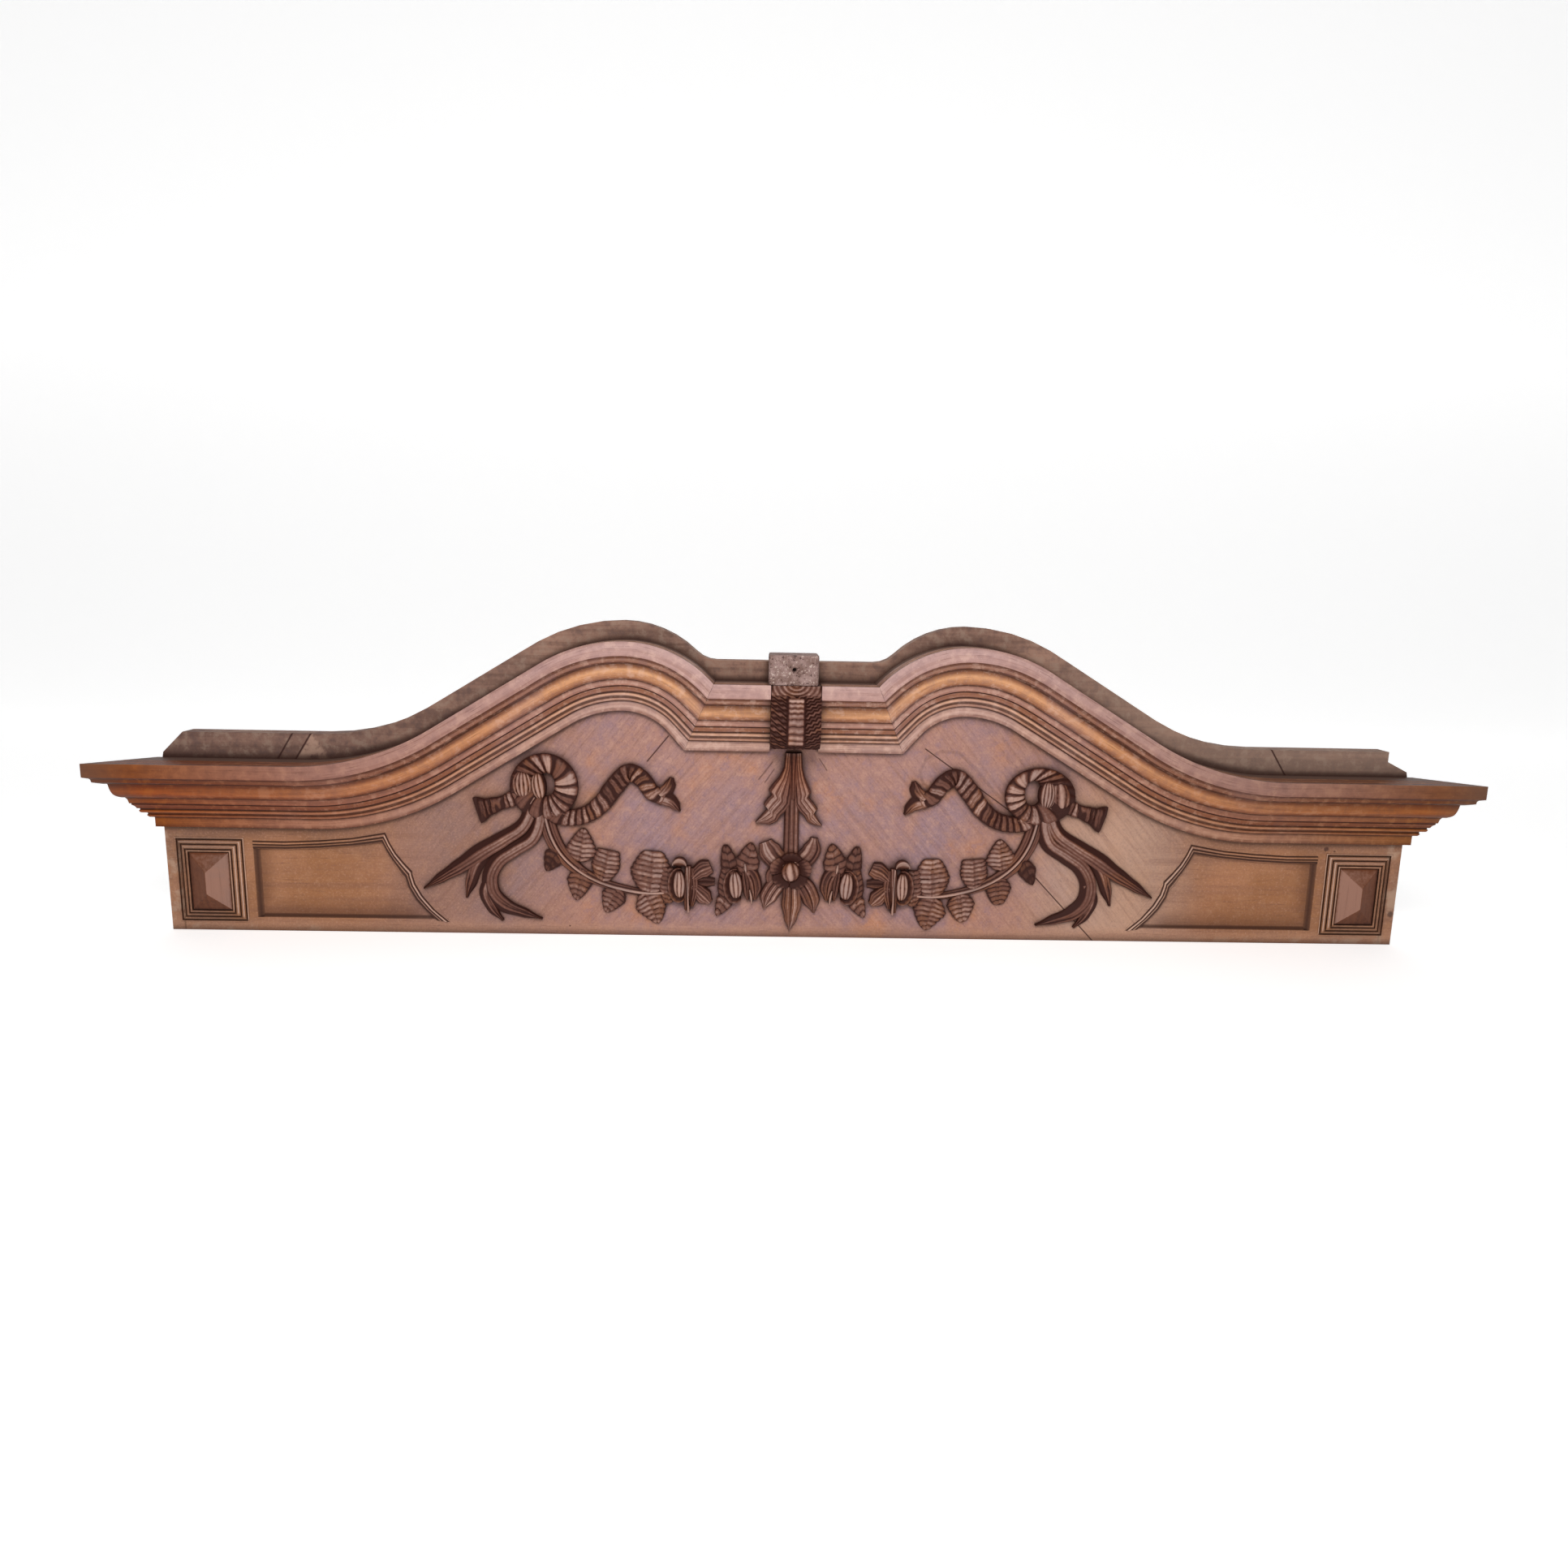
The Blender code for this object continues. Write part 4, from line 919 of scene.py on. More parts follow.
def pleated(path, width, high, count, slant=0.35, seed=3, side=1, deep=0.30, fade=0.0, dark=0.0):
    """Ribbon: height is the crown times 1 less the pleat's depth, with the edges scalloped by the pleats."""
    def phase(u, v):
        return pleats(u, v, count, seed, slant)

    def height(u, v):
        return high * crest(v, 0.62, 4) * (1 - deep * (1 - fold(phase(u, v))))

    def hollow(u, v):
        return dark + pleat_tone(phase(u, v), seed) + 0.55 * np.abs(v) ** 6 + fade * u**4

    def half_width(u):
        return width(u) * (1 + 0.05 * fold(phase(u, 0.0)))

    return strip(path, half_width, height, hollow, side, across=21)


def loop(outer, hole, high, count, side, seed):
    """Pleated ring between two ellipses, each a centre and two radii, that need not share a centre."""
    rim, inner = arc(*outer, 0, 360, 161)[:-1], arc(*hole, 0, 360, 161)[:-1]

    def phase(u, v):
        return count * u + 0.45 * np.sin(2 * math.pi * 2 * u + seed) + 0.22 * v

    def height(u, v):
        return high * crest(v, 0.58, 3) * (1 - 0.30 * (1 - fold(phase(u, v))))

    def hollow(u, v):
        # Painted shade on the side of the loop next to the knot.
        shade_by_knot = 0.55 * np.exp(-((np.minimum(u, 1 - u) / 0.17) ** 2))
        return pleat_tone(phase(u, v), seed) + 0.5 * np.abs(v) ** 6 + shade_by_knot

    return sheet(rim, inner, height, hollow, side, 21, closed=True)


def streamer(path, width, high, ribs, side=1, start=0.45, shadow=-1, seed=0):
    """Hanging ribbon end: a smooth face with one deep dark edge, that splits into ribs towards its tip."""
    def spread_out(u):
        t = np.clip((u - start) / (1 - start), 0, 1)
        return t * t * (3 - 2 * t)

    def cuts(u, v):
        return groove((v * 0.5 + 0.5) * ribs + 0.12 * np.sin(6 * u + seed), 2.5) * spread_out(u)

    def edge(v):
        return np.clip(v * shadow - 0.24, 0, 1) / 0.76

    def height(u, v):
        face = high * crest(v, 0.72, 3) * (1 - 0.35 * u)
        return face * (1 - 0.60 * edge(v) ** 0.8 * (1 - 0.5 * spread_out(u))) - 0.0020 * cuts(u, v)

    def hollow(u, v):
        shoulder = 0.6 * np.exp(-((v * shadow + 0.55) / 0.07) ** 2) * np.clip(4 * u, 0, 1)
        crease = 0.35 * np.exp(-((v * shadow + 0.10) / 0.05) ** 2) * np.clip(3 * u - 0.6, 0, 1)
        lines = shoulder + 0.20 + crease
        # Painted shade along the edge that the shadow argument picks.
        dark_edge = 1.25 * edge(v) ** 0.45 * (1 - 0.35 * spread_out(u))
        return dark_edge + cuts(u, v) * 1.1 + 0.25 * u**1.5 + 0.4 * np.abs(v) ** 8 + lines

    return strip(path, width, height, hollow, side, across=25)


def bulge(centre, radii, high, lines, side, lean, seed, cut=0.16, dark=0.0):
    """Oval boss: height follows an ellipse, cut by lines that run from pole to pole."""
    t = np.linspace(-0.995, 0.995, 40)
    path = np.c_[np.full(40, centre[0]) + lean * t, centre[1] + radii[1] * t]

    def width(u):
        return radii[0] * np.sqrt(np.clip(1 - (2 * u - 1) ** 2 * 0.98, 0.004, 1))

    def cuts(u, v):
        return groove(v * lines / 2 + 0.5 + 0.18 * np.sin(3 * u + seed), 3.0)

    def height(u, v):
        end = np.clip(1 - (2 * u - 1) ** 2, 0, 1) ** 0.5
        return high * (0.35 + 0.65 * end * np.sqrt(np.clip(1 - v**2 * 0.86, 0, 1))) * (1 - cut * cuts(u, v))

    def hollow(u, v):
        return dark + 1.05 * cuts(u, v) + 0.8 * np.abs(v) ** 8 + 0.6 * np.abs(2 * u - 1) ** 8

    return strip(path, width, height, hollow, side, across=33)


def arc(centre, radii, start, stop, count=40):
    """Points of an ellipse between two angles in degrees, from +X anticlockwise."""
    angle = np.radians(np.linspace(start, stop, count))
    return np.c_[centre[0] + radii[0] * np.cos(angle), centre[1] + radii[1] * np.sin(angle)]


def crescent(centre, radii, start, stop, width, low, high, side=1, lines=5, dark=0.0):
    """Petal round a centre: low and dark on its inner side, and rolled up to a pale lip on its outer."""
    def half_width(u):
        return width * np.clip(np.sin(math.pi * (0.06 + 0.88 * u)), 0, 1) ** 0.7

    def cuts(u, v):
        return groove(u * lines + 0.2 * v, 2.5)

    def height(u, v):
        out = (1 - v) / 2
        lip = np.clip(1 - ((out - 0.78) / 0.30) ** 2, 0, 1)
        return (low + (high - low) * out**1.3 * (0.8 + 0.2 * lip)) * (1 - 0.10 * cuts(u, v))

    def hollow(u, v):
        out = (1 - v) / 2
        return dark + 1.25 * (1 - out) ** 1.4 + 0.55 * cuts(u, v) * (1 - 0.5 * out) + 0.4 * np.abs(v) ** 10

    return strip(arc(centre, radii, start, stop), half_width, height, hollow, side, across=19)


def cup(centre, rim, mouth, low, high, petals, seed, side=1, dark=0.0, turn=0.0):
    """Open flower: one ring of petals, each a share of the way round, low and dark towards its mouth."""
    u = np.linspace(0, 1, 200, endpoint=False)[:, None]
    lobed = 1 - 0.14 * groove(u * petals + turn, 1.2)
    outer = np.array(centre) + (arc(centre, rim, 0, 360, 201)[:-1] - centre) * lobed
    inner = arc(centre, mouth, 0, 360, 201)[:-1]

    def height(u, v):
        out = (1 + v) / 2
        lip = 1 - 0.22 * np.clip((out - 0.75) / 0.25, 0, 1) ** 2
        return (low + (high - low) * out**0.8) * lip * (1 - 0.30 * groove(u * petals + turn, 4.0))

    def hollow(u, v):
        out = (1 + v) / 2
        veins = 0.40 * groove(u * petals * 5 + 0.4 * out, 2.0) * out
        petal = 0.55 * patchy(u * petals + turn, seed)
        return dark + 0.95 * (1 - out) ** 1.3 + 0.9 * groove(u * petals + turn, 3.5) + veins + petal - 0.15

    return sheet(outer, inner, height, hollow, side, 19, closed=True)


def drawn(base, tip, bend, count=44):
    """Path from base to tip, bowed sideways by bend times its length."""
    base, tip = np.array(base), np.array(tip)
    run = tip - base
    u = np.linspace(0, 1, count)[:, None]
    return base + run * u + np.array((-run[1], run[0])) * bend * np.sin(math.pi * u)


def leaf(base, tip, half, high, side=1, bend=0.0, cuts=6, seed=0, broad=0.42, point=0.03, dark=0.0):
    """Toothed leaf: one tooth for each cut across it, and each cut arched and broken at the midrib."""
    def phase(u, v):
        step = 0.14 * (v > 0)
        return u * cuts + step - 0.45 * v**2 + 0.05 * np.sin(9 * v + seed) + 0.12 * v

    def half_width(u):
        swell = np.clip(u / broad, 0, 1)
        fall = np.clip((1 - u) / (1 - broad), 0, 1)
        outline = 0.42 + 0.58 * np.sin(swell * math.pi / 2)
        outline = np.where(u < broad, outline, point + (1 - point) * fall**0.65)
        return half * outline * (0.88 + 0.12 * np.abs(np.sin(math.pi * (u * cuts + 0.1))) ** 0.7)

    def height(u, v):
        face = high * crest(v, 0.62, 1.6) * (1 - 0.30 * u)
        return face - 0.0024 * groove(phase(u, v), 3.0) * (1 - 0.3 * np.abs(v))

    def hollow(u, v):
        ridge = 0.15 + 0.16 * patchy(phase(u, v), seed) + dark
        lines = (1.15 - 0.6 * dark) * groove(phase(u, v), 4.2)
        return ridge + lines + 0.6 * np.abs(v) ** 8 + 0.15 * np.exp(-(v / 0.05) ** 2)

    return strip(drawn(base, tip, bend), half_width, height, hollow, side, across=25)


def frond_surface(high, lines, shift, dark):
    """Height and hollow of a smooth leaf, with cuts from root to tip that fade out before the tip."""
    def cuts(u, v):
        return groove((v * 0.5 + 0.5) * lines + shift, 3.6) * np.clip(1.2 - u, 0, 1) ** 0.4

    def height(u, v):
        return high * crest(v, 0.60, 2.5) * (1 - 0.25 * u) - 0.0018 * cuts(u, v)

    def hollow(u, v):
        fine = 0.42 * groove((v * 0.5 + 0.5) * lines * 3 + shift, 2.6)
        # One half of the leaf is a little darker: painted shade.
        return 0.10 + dark + 1.3 * cuts(u, v) + 0.7 * np.abs(v) ** 8 + 0.12 * (v < 0) + fine

    return height, hollow


def frond(path, half_widths, high, lines, side=1, shift=0.0, dark=0.0):
    """Smooth leaf with long cuts along a path."""
    return strip(path, shares(*half_widths), *frond_surface(high, lines, shift, dark), side, across=29)


# %% [markdown]
# A bow has a round loop behind a tight knot, a wavy tail towards the middle, a short flared tail
# outwards and two long ends that hang and split. All are laid out for the right half and turned over
# in x for the left; each half has its own loop and knot, and other random numbers for the pleats.

# %% Bows
STREAMER_A_HALVES = (0.0088, 0.0086, 0.0092, 0.0104, 0.0112, 0.0094, 0.0066, 0.0012)
STREAMER_B_HALVES = (0.0078, 0.0086, 0.0092, 0.0096, 0.0100, 0.0104, 0.0098, 0.0066, 0.0010)
WAVY_TAIL_HALVES = (0.0075, 0.0100, 0.0105, 0.0112, 0.0118, 0.0108, 0.0100, 0.0098)
# Outer ellipse and hole of each loop.
LOOPS = {
    -1: (((0.3164, 0.1968), (0.0428, 0.0425)), ((0.3130, 0.2000), (0.0105, 0.0150))),
    1: (((0.3180, 0.1940), (0.0450, 0.0370)), ((0.3085, 0.1985), (0.0112, 0.0165))),
}
# Centre, radii, number of lines and lean of each bulge of a knot.
KNOTS = {
    -1: (((0.3425, 0.2000), (0.0135, 0.0180), 5, 0.0), ((0.3225, 0.1985), (0.0090, 0.0175), 3, 0.002)),
    1: (((0.3430, 0.1960), (0.0120, 0.0190), 2, -0.004), ((0.3265, 0.1970), (0.0110, 0.0185), 5, 0.001)),
}
WAVY_TAIL = ((0.318, 0.164), (0.300, 0.158), (0.280, 0.157), (0.262, 0.162), (0.243, 0.177),
             (0.2275, 0.198), (0.2075, 0.2165), (0.191, 0.207), (0.179, 0.191), (0.164, 0.1845))
OUTER_TAIL = ((0.342, 0.189), (0.360, 0.179), (0.379, 0.172), (0.402, 0.1645))
STREAMER_A = ((0.330, 0.184), (0.335, 0.165), (0.344, 0.147), (0.370, 0.128), (0.398, 0.111),
              (0.422, 0.094), (0.447, 0.078), (0.4735, 0.061))
STREAMER_B = ((0.323, 0.178), (0.3245, 0.152), (0.333, 0.131), (0.356, 0.115), (0.378, 0.099),
              (0.3885, 0.078), (0.3865, 0.056), (0.371, 0.039), (0.349, 0.030), (0.3225, 0.0215))
FORK_A = ((0.390, 0.113), (0.405, 0.092), (0.413, 0.070), (0.4195, 0.049))
FORK_B = ((0.388, 0.078), (0.3955, 0.055), (0.387, 0.034), (0.3735, 0.0185))
CROSS_BAND = ((0.316, 0.1655), (0.303, 0.1615), (0.288, 0.1605))


def bow(side):
    """Skins of one bow; the shapes in front come last and stand higher."""
    seed = 5 if side > 0 else 11
    knot_out, knot_in = KNOTS[side]
    outer, hole = LOOPS[side]
    return [
        streamer(smooth_path(FORK_A, 50), shares(0.0075, 0.0085, 0.0075, 0.0016), 0.0062, 3, side, 0.1),
        streamer(smooth_path(STREAMER_A, 110), shares(*STREAMER_A_HALVES),
                 0.0090, 4, side, 0.52, 1, seed),
        streamer(smooth_path(FORK_B, 50), shares(0.0065, 0.0078, 0.0066, 0.0018), 0.0060, 3, side, 0.1, 1),
        streamer(smooth_path(STREAMER_B, 130), shares(*STREAMER_B_HALVES),
                 0.0086, 3, side, 0.60, -side, seed + 2),
        loop(outer, hole, 0.0122, 15, side, seed),
        pleated(smooth_path(OUTER_TAIL, 70), shares(0.0115, 0.0095, 0.0082, 0.0105, 0.0170), 0.0088, 6, 0.2,
                seed + 3, side, deep=0.34, fade=0.8),
        pleated(smooth_path(WAVY_TAIL, 190), shares(*WAVY_TAIL_HALVES),
                0.0088, 19, 0.30, seed + 4, side, deep=0.33, dark=0.14),
        streamer(smooth_path(((0.168, 0.187), (0.159, 0.197), (0.1545, 0.2105)), 36),
                 shares(0.0070, 0.0085, 0.0075, 0.0030), 0.0080, 2, side, 0.0, 1),
        streamer(smooth_path(((0.168, 0.1855), (0.156, 0.181), (0.1440, 0.1675)), 36),
                 shares(0.0080, 0.0085, 0.0065, 0.0014), 0.0088, 2, side, 0.2, -1),
        bulge(knot_out[0], knot_out[1], 0.0162, knot_out[2], side, knot_out[3], seed, cut=0.22, dark=0.12),
        bulge(knot_in[0], knot_in[1], 0.0170, knot_in[2], side, knot_in[3], seed + 1, cut=0.22, dark=0.06),
        streamer(smooth_path(CROSS_BAND, 40), shares(0.0052, 0.0056, 0.0045), 0.0104, 2, side, 0.0, 1, seed),
    ]


# %% [markdown]
# The swag starts under the knot as a broad ribbed stem with a bright line along it. Toothed leaves
# stand on both sides, and it ends in a full rose and a smaller one that is half open.

# %% Swags
STEM = ((0.317, 0.172), (0.314, 0.152), (0.308, 0.131), (0.296, 0.109), (0.276, 0.089), (0.247, 0.0725),
        (0.216, 0.063), (0.186, 0.0585), (0.168, 0.0590), (0.152, 0.0620))
STEM_LEAVES = {
    -1: (
        dict(base=(0.2730, 0.1000), tip=(0.2675, 0.1430), half=0.0205, cuts=7, broad=0.35),
        dict(base=(0.2440, 0.0740), tip=(0.2360, 0.1145), half=0.0190, cuts=7, broad=0.55, point=0.75),
        dict(base=(0.1830, 0.0590), tip=(0.1790, 0.1140), half=0.0275, cuts=8, broad=0.55, point=0.40),
        dict(base=(0.2990, 0.1160), tip=(0.3160, 0.0860), half=0.0140, cuts=4, dark=0.45),
        dict(base=(0.2700, 0.0900), tip=(0.2780, 0.0475), half=0.0170, cuts=6, dark=0.1),
        dict(base=(0.2230, 0.0660), tip=(0.2400, 0.0315), half=0.0165, cuts=6, dark=0.1),
        dict(base=(0.1900, 0.0600), tip=(0.1720, 0.0175), half=0.0215, cuts=7, bend=-0.04),
    ),
    1: (
        dict(base=(0.2740, 0.0960), tip=(0.2700, 0.1360), half=0.0205, cuts=7, broad=0.35),
        dict(base=(0.2400, 0.0700), tip=(0.2370, 0.1090), half=0.0185, cuts=7, broad=0.55, point=0.80),
        dict(base=(0.1840, 0.0570), tip=(0.1830, 0.1085), half=0.0240, cuts=8, broad=0.55, point=0.40),
        dict(base=(0.3020, 0.1080), tip=(0.3160, 0.0760), half=0.0120, cuts=3, dark=0.5),
        dict(base=(0.2700, 0.0860), tip=(0.2720, 0.0490), half=0.0175, cuts=6, point=0.3, dark=0.15),
        dict(base=(0.2210, 0.0630), tip=(0.2260, 0.0250), half=0.0185, cuts=6, point=0.2),
        dict(base=(0.1880, 0.0570), tip=(0.1780, 0.0130), half=0.0225, cuts=7, bend=-0.04, dark=0.05),
    ),
}
ROSE, HALF_OPEN = (0.1444, 0.0715), (0.0720, 0.0715)
SWAG_END_LEAVES = (
    dict(base=(0.1590, 0.0460), tip=(0.1600, 0.0930), half=0.0125, cuts=8, broad=0.5, point=0.55, dark=0.12),
    dict(base=(0.0770, 0.084), tip=(0.0860, 0.1235), half=0.0115, cuts=4, point=0.2, dark=0.28),
    dict(base=(0.0600, 0.084), tip=(0.0520, 0.1270), half=0.0165, cuts=5, dark=0.15),
    dict(base=(0.0800, 0.060), tip=(0.0965, 0.0290), half=0.0110, cuts=4, dark=0.05),
    dict(base=(0.0860, 0.0480), tip=(0.0850, 0.0930), half=0.0100, cuts=6, broad=0.5, point=0.45, dark=0.22),
)
# Path, half widths, height, lines and depth of tone of the smooth petals.
ROSE_PETALS = (
    (((0.1230, 0.0745), (0.0990, 0.0740)),
     (0.0060, 0.0075, 0.0050), 0.0050, 2, 0.45),
    (((0.1275, 0.0800), (0.1180, 0.0890), (0.1040, 0.0950)),
     (0.0060, 0.0095, 0.0120, 0.0090), 0.0088, 5, 0.16),
    (((0.1275, 0.0700), (0.1180, 0.0600), (0.1050, 0.0470)),
     (0.0060, 0.0095, 0.0110, 0.0050), 0.0088, 5, 0.10),
    (((0.1285, 0.0430), (0.1255, 0.0680), (0.1280, 0.0930)),
     (0.0030, 0.0062, 0.0060, 0.0030), 0.0104, 3, 0.22),
    (((0.1350, 0.0380), (0.1345, 0.0660), (0.1330, 0.0960)),
     (0.0030, 0.0046, 0.0050, 0.0040), 0.0120, 2, 0.16),
    (((0.1325, 0.0360), (0.1335, 0.0660), (0.1345, 0.0950)),
     (0.0019, 0.0013, 0.0010, 0.0016), 0.0138, 1, -0.25),
)
HALF_OPEN_PETALS = (
    (((0.0610, 0.0960), (0.0500, 0.0780), (0.0465, 0.0520)),
     (0.0060, 0.0110, 0.0105, 0.0030), 0.0080, 4, 0.20),
    (((0.0610, 0.0900), (0.0580, 0.0700), (0.0560, 0.0520)),
     (0.0035, 0.0055, 0.0050, 0.0020), 0.0105, 2, 0.24),
    (((0.0600, 0.1010), (0.0590, 0.0920), (0.0585, 0.0860)),
     (0.0012, 0.0022, 0.0010), 0.0115, 1, -0.30),
    (((0.0535, 0.0660), (0.0515, 0.0560), (0.0505, 0.0470)),
     (0.0010, 0.0020, 0.0010), 0.0105, 1, -0.30),
)


def stem_strip(side):
    """Broad band with lengthwise reeds and a narrow bead along its middle."""
    width = shares(0.0098, 0.0104, 0.0092, 0.0066, 0.0052, 0.0044, 0.0040)
    bead_half = 0.0016

    def bead(u, v):
        return np.exp(-(v * width(u) / bead_half) ** 4)

    def reeds(u, v):
        return groove(v * 2.5 + 0.5, 2.5) * np.clip(1.3 - 1.6 * u, 0, 1)

    def height(u, v):
        return (0.0062 - 0.0020 * u) * crest(v, 0.5, 3) + 0.0024 * bead(u, v) - 0.0012 * reeds(u, v)

    def hollow(u, v):
        rim = np.exp(-((np.abs(v * width(u)) - 0.0027) / 0.0009) ** 2)
        return 0.38 + 0.5 * reeds(u, v) + 0.60 * rim + 0.3 * np.abs(v) ** 6 - 0.60 * bead(u, v)

    return strip(smooth_path(STEM, 190), width, height, hollow, side, across=31)


def bud(centre, radii, side, seed):
    """Pale oval bud in a dark hollow that is open towards the middle of the crest."""
    rim = (radii[0] + 0.0030, radii[1] + 0.0020)
    return [
        crescent(centre, rim, -125, 100, 0.0034, 0.0075, 0.0120, side, 9, 0.20),
        bulge(centre, radii, 0.0150, 3, side, 0.001, seed, cut=0.10, dark=0.04),
    ]


def petals(rows, side):
    """Smooth petals, each on a curve through its points, or on a straight line between two."""
    skins = []
    for points, half_widths, high, lines, dark in rows:
        path = smooth_path(points, 50) if len(points) > 2 else drawn(*points, 0.0)
        skins.append(frond(path, half_widths, high, lines, side, dark=dark))
    return skins


def swag(side):
    """Leaves first, then the stem over their feet, then the two flowers."""
    skins = [leaf(high=0.0066, side=side, seed=k, **row) for k, row in enumerate(STEM_LEAVES[side])]
    skins += [leaf(high=0.0088, side=side, seed=k, **row) for k, row in enumerate(SWAG_END_LEAVES)]
    skins.append(stem_strip(side))
    skins += petals(ROSE_PETALS, side) + bud(ROSE, (0.0083, 0.0190), side, 2)
    skins.append(crescent(ROSE, (0.0150, 0.0292), 60, 122, 0.0062, 0.0060, 0.0145, side, 1, -0.20))
    return skins + petals(HALF_OPEN_PETALS, side) + bud(HALF_OPEN, (0.0092, 0.0188), side, 4)


# %% [markdown]
# Under the bracket hangs a pendant: a pair of acanthus leaves with long cuts, a reeded stem, and a
# small open flower with five dark petals and leaves above and below it.

# %% Pendant
ACANTHUS_OUTER = {
    -1: ((0.0105, 0.2460), (0.0120, 0.2270), (0.0180, 0.2140), (0.0250, 0.2060),
         (0.0312, 0.1975), (0.0268, 0.1915), (0.0320, 0.1865), (0.0374, 0.1785),
         (0.0318, 0.1735), (0.0390, 0.1650), (0.0475, 0.1545)),
    1: ((0.0105, 0.2460), (0.0115, 0.2280), (0.0150, 0.2140), (0.0190, 0.2050),
        (0.0236, 0.1950), (0.0200, 0.1890), (0.0262, 0.1820), (0.0322, 0.1735),
        (0.0280, 0.1680), (0.0325, 0.1600), (0.0385, 0.1510)),
}
ACANTHUS_INNER = ((0.0005, 0.2455), (0.0005, 0.2250), (0.0008, 0.2050), (0.0012, 0.1900), (0.0030, 0.1790),
                  (0.0085, 0.1705), (0.0150, 0.1640), (0.0200, 0.1560), (0.0290, 0.1520))
FLOWER = (-0.0010, 0.0915)
# Base, tip, bend, half widths, height, lines, shift of the lines and depth of tone.
FLOWER_LEAVES = (
    ((-0.008, 0.098), (-0.0340, 0.1290), 0.10, (0.0095, 0.0140, 0.0150, 0.0090), 0.0070, 2, 0.3, 0.0),
    ((-0.014, 0.096), (-0.0240, 0.0700), -0.20, (0.0060, 0.0085, 0.0060), 0.0066, 1, 0.3, 0.1),
    ((0.006, 0.100), (0.0290, 0.1350), -0.16, (0.0080, 0.0125, 0.0120, 0.0050), 0.0078, 3, 0.3, 0.05),
    ((-0.010, 0.082), (-0.0345, 0.0400), -0.08, (0.0080, 0.0120, 0.0115, 0.0020), 0.0072, 3, 0.0, 0.0),
    ((0.010, 0.081), (0.0305, 0.0350), 0.08, (0.0080, 0.0120, 0.0115, 0.0020), 0.0072, 4, 0.0, 0.15),
    ((0.0, 0.080), (-0.0010, 0.0105), 0.02, (0.0080, 0.0115, 0.0130, 0.0085, 0.0012), 0.0080, 3, 0.5, 0.0),
)


def acanthus(side):
    """Half leaf between its smooth inner edge and its lobed outer edge, both ending at the same tip."""
    outer = ACANTHUS_OUTER[side]
    inner = (*ACANTHUS_INNER, outer[-1])
    return sheet(evenly(outer, 120), evenly(inner, 120), *frond_surface(0.0104, 4, 0.35, 0.0), side, 31)


def pendant():
    """Skins of the pendant, from the back to the front."""
    stem = smooth_path(((-0.001, 0.204), (-0.001, 0.108)), 50)
    root = smooth_path(((0.0, 0.2458), (0.0, 0.222), (0.0, 0.186)), 60)
    skins = [frond(stem, (0.0092, 0.0098), 0.0072, 3, dark=0.16), acanthus(-1), acanthus(1),
             frond(root, (0.0095, 0.0060, 0.0028), 0.0114, 3, dark=0.18)]
    skins += [frond(drawn(base, tip, bend), half_widths, high, lines, 1, shift, dark)
              for base, tip, bend, half_widths, high, lines, shift, dark in FLOWER_LEAVES]
    skins.append(cup(FLOWER, (0.0275, 0.0245), (0.0085, 0.0105), 0.0050, 0.0132, 5, 8, dark=0.30, turn=0.3))
    eye = (FLOWER[0], FLOWER[1] - 0.001)
    skins.append(bulge(eye, (0.0115, 0.0130), 0.0186, 2, 1, 0.0, 2, cut=0.06, dark=0.08))
    return skins


for word, side in SIDES:
    piece(f"carving_{word}", bow(side) + swag(side), carving_polish, [f"swag_{word}"])
piece("pendant", pendant(), carving_polish, ["centre_drop"])

# %% [markdown]
# Each end of the frieze has a low hipped block inside nested frames of thin beads. The block is a
# strip whose height is the least of four slopes. Each bead is a half round carried round a rectangle:
# the same share of the way round its outer and its inner rectangle gives a mitre at every corner.

# %% End blocks and frames
FRAME_X, FRAME_Z = (0.703, 0.787), (0.0125, 0.1215)
FRAME_STEPS = (0.0070, 0.0046, 0.0045, 0.0066)
GROOVE_W = 0.0022
BOSS_FLOOR, BOSS_TOP = -0.0027, 0.0110


def nested(k, shrink=0.0):
    """Inner, outer, lower and upper edge of the k-th frame, each stepped in by its own amount."""
    grow = (1, -1, 1, -1)
    start = (*FRAME_X, *FRAME_Z)
    return [edge + way * (step * k + shrink) for edge, way, step in zip(start, grow, FRAME_STEPS)]


def round_rectangle(edges, per_side=24):
    """Points round a rectangle, the same number on each side."""
    x0, x1, z0, z1 = edges
    corners = np.array(((x0, z0), (x1, z0), (x1, z1), (x0, z1), (x0, z0)))
    t = np.linspace(0, 1, per_side, endpoint=False)[:, None]
    return np.vstack([a + (b - a) * t for a, b in zip(corners, corners[1:])])


# Contrast and shade of a ring's lower, outer, upper and inner side.
RING_CONTRAST, RING_SHADE = (0.45, 0.50, 0.95, 1.0), (0.20, 0.25, 0.22, 0.10)


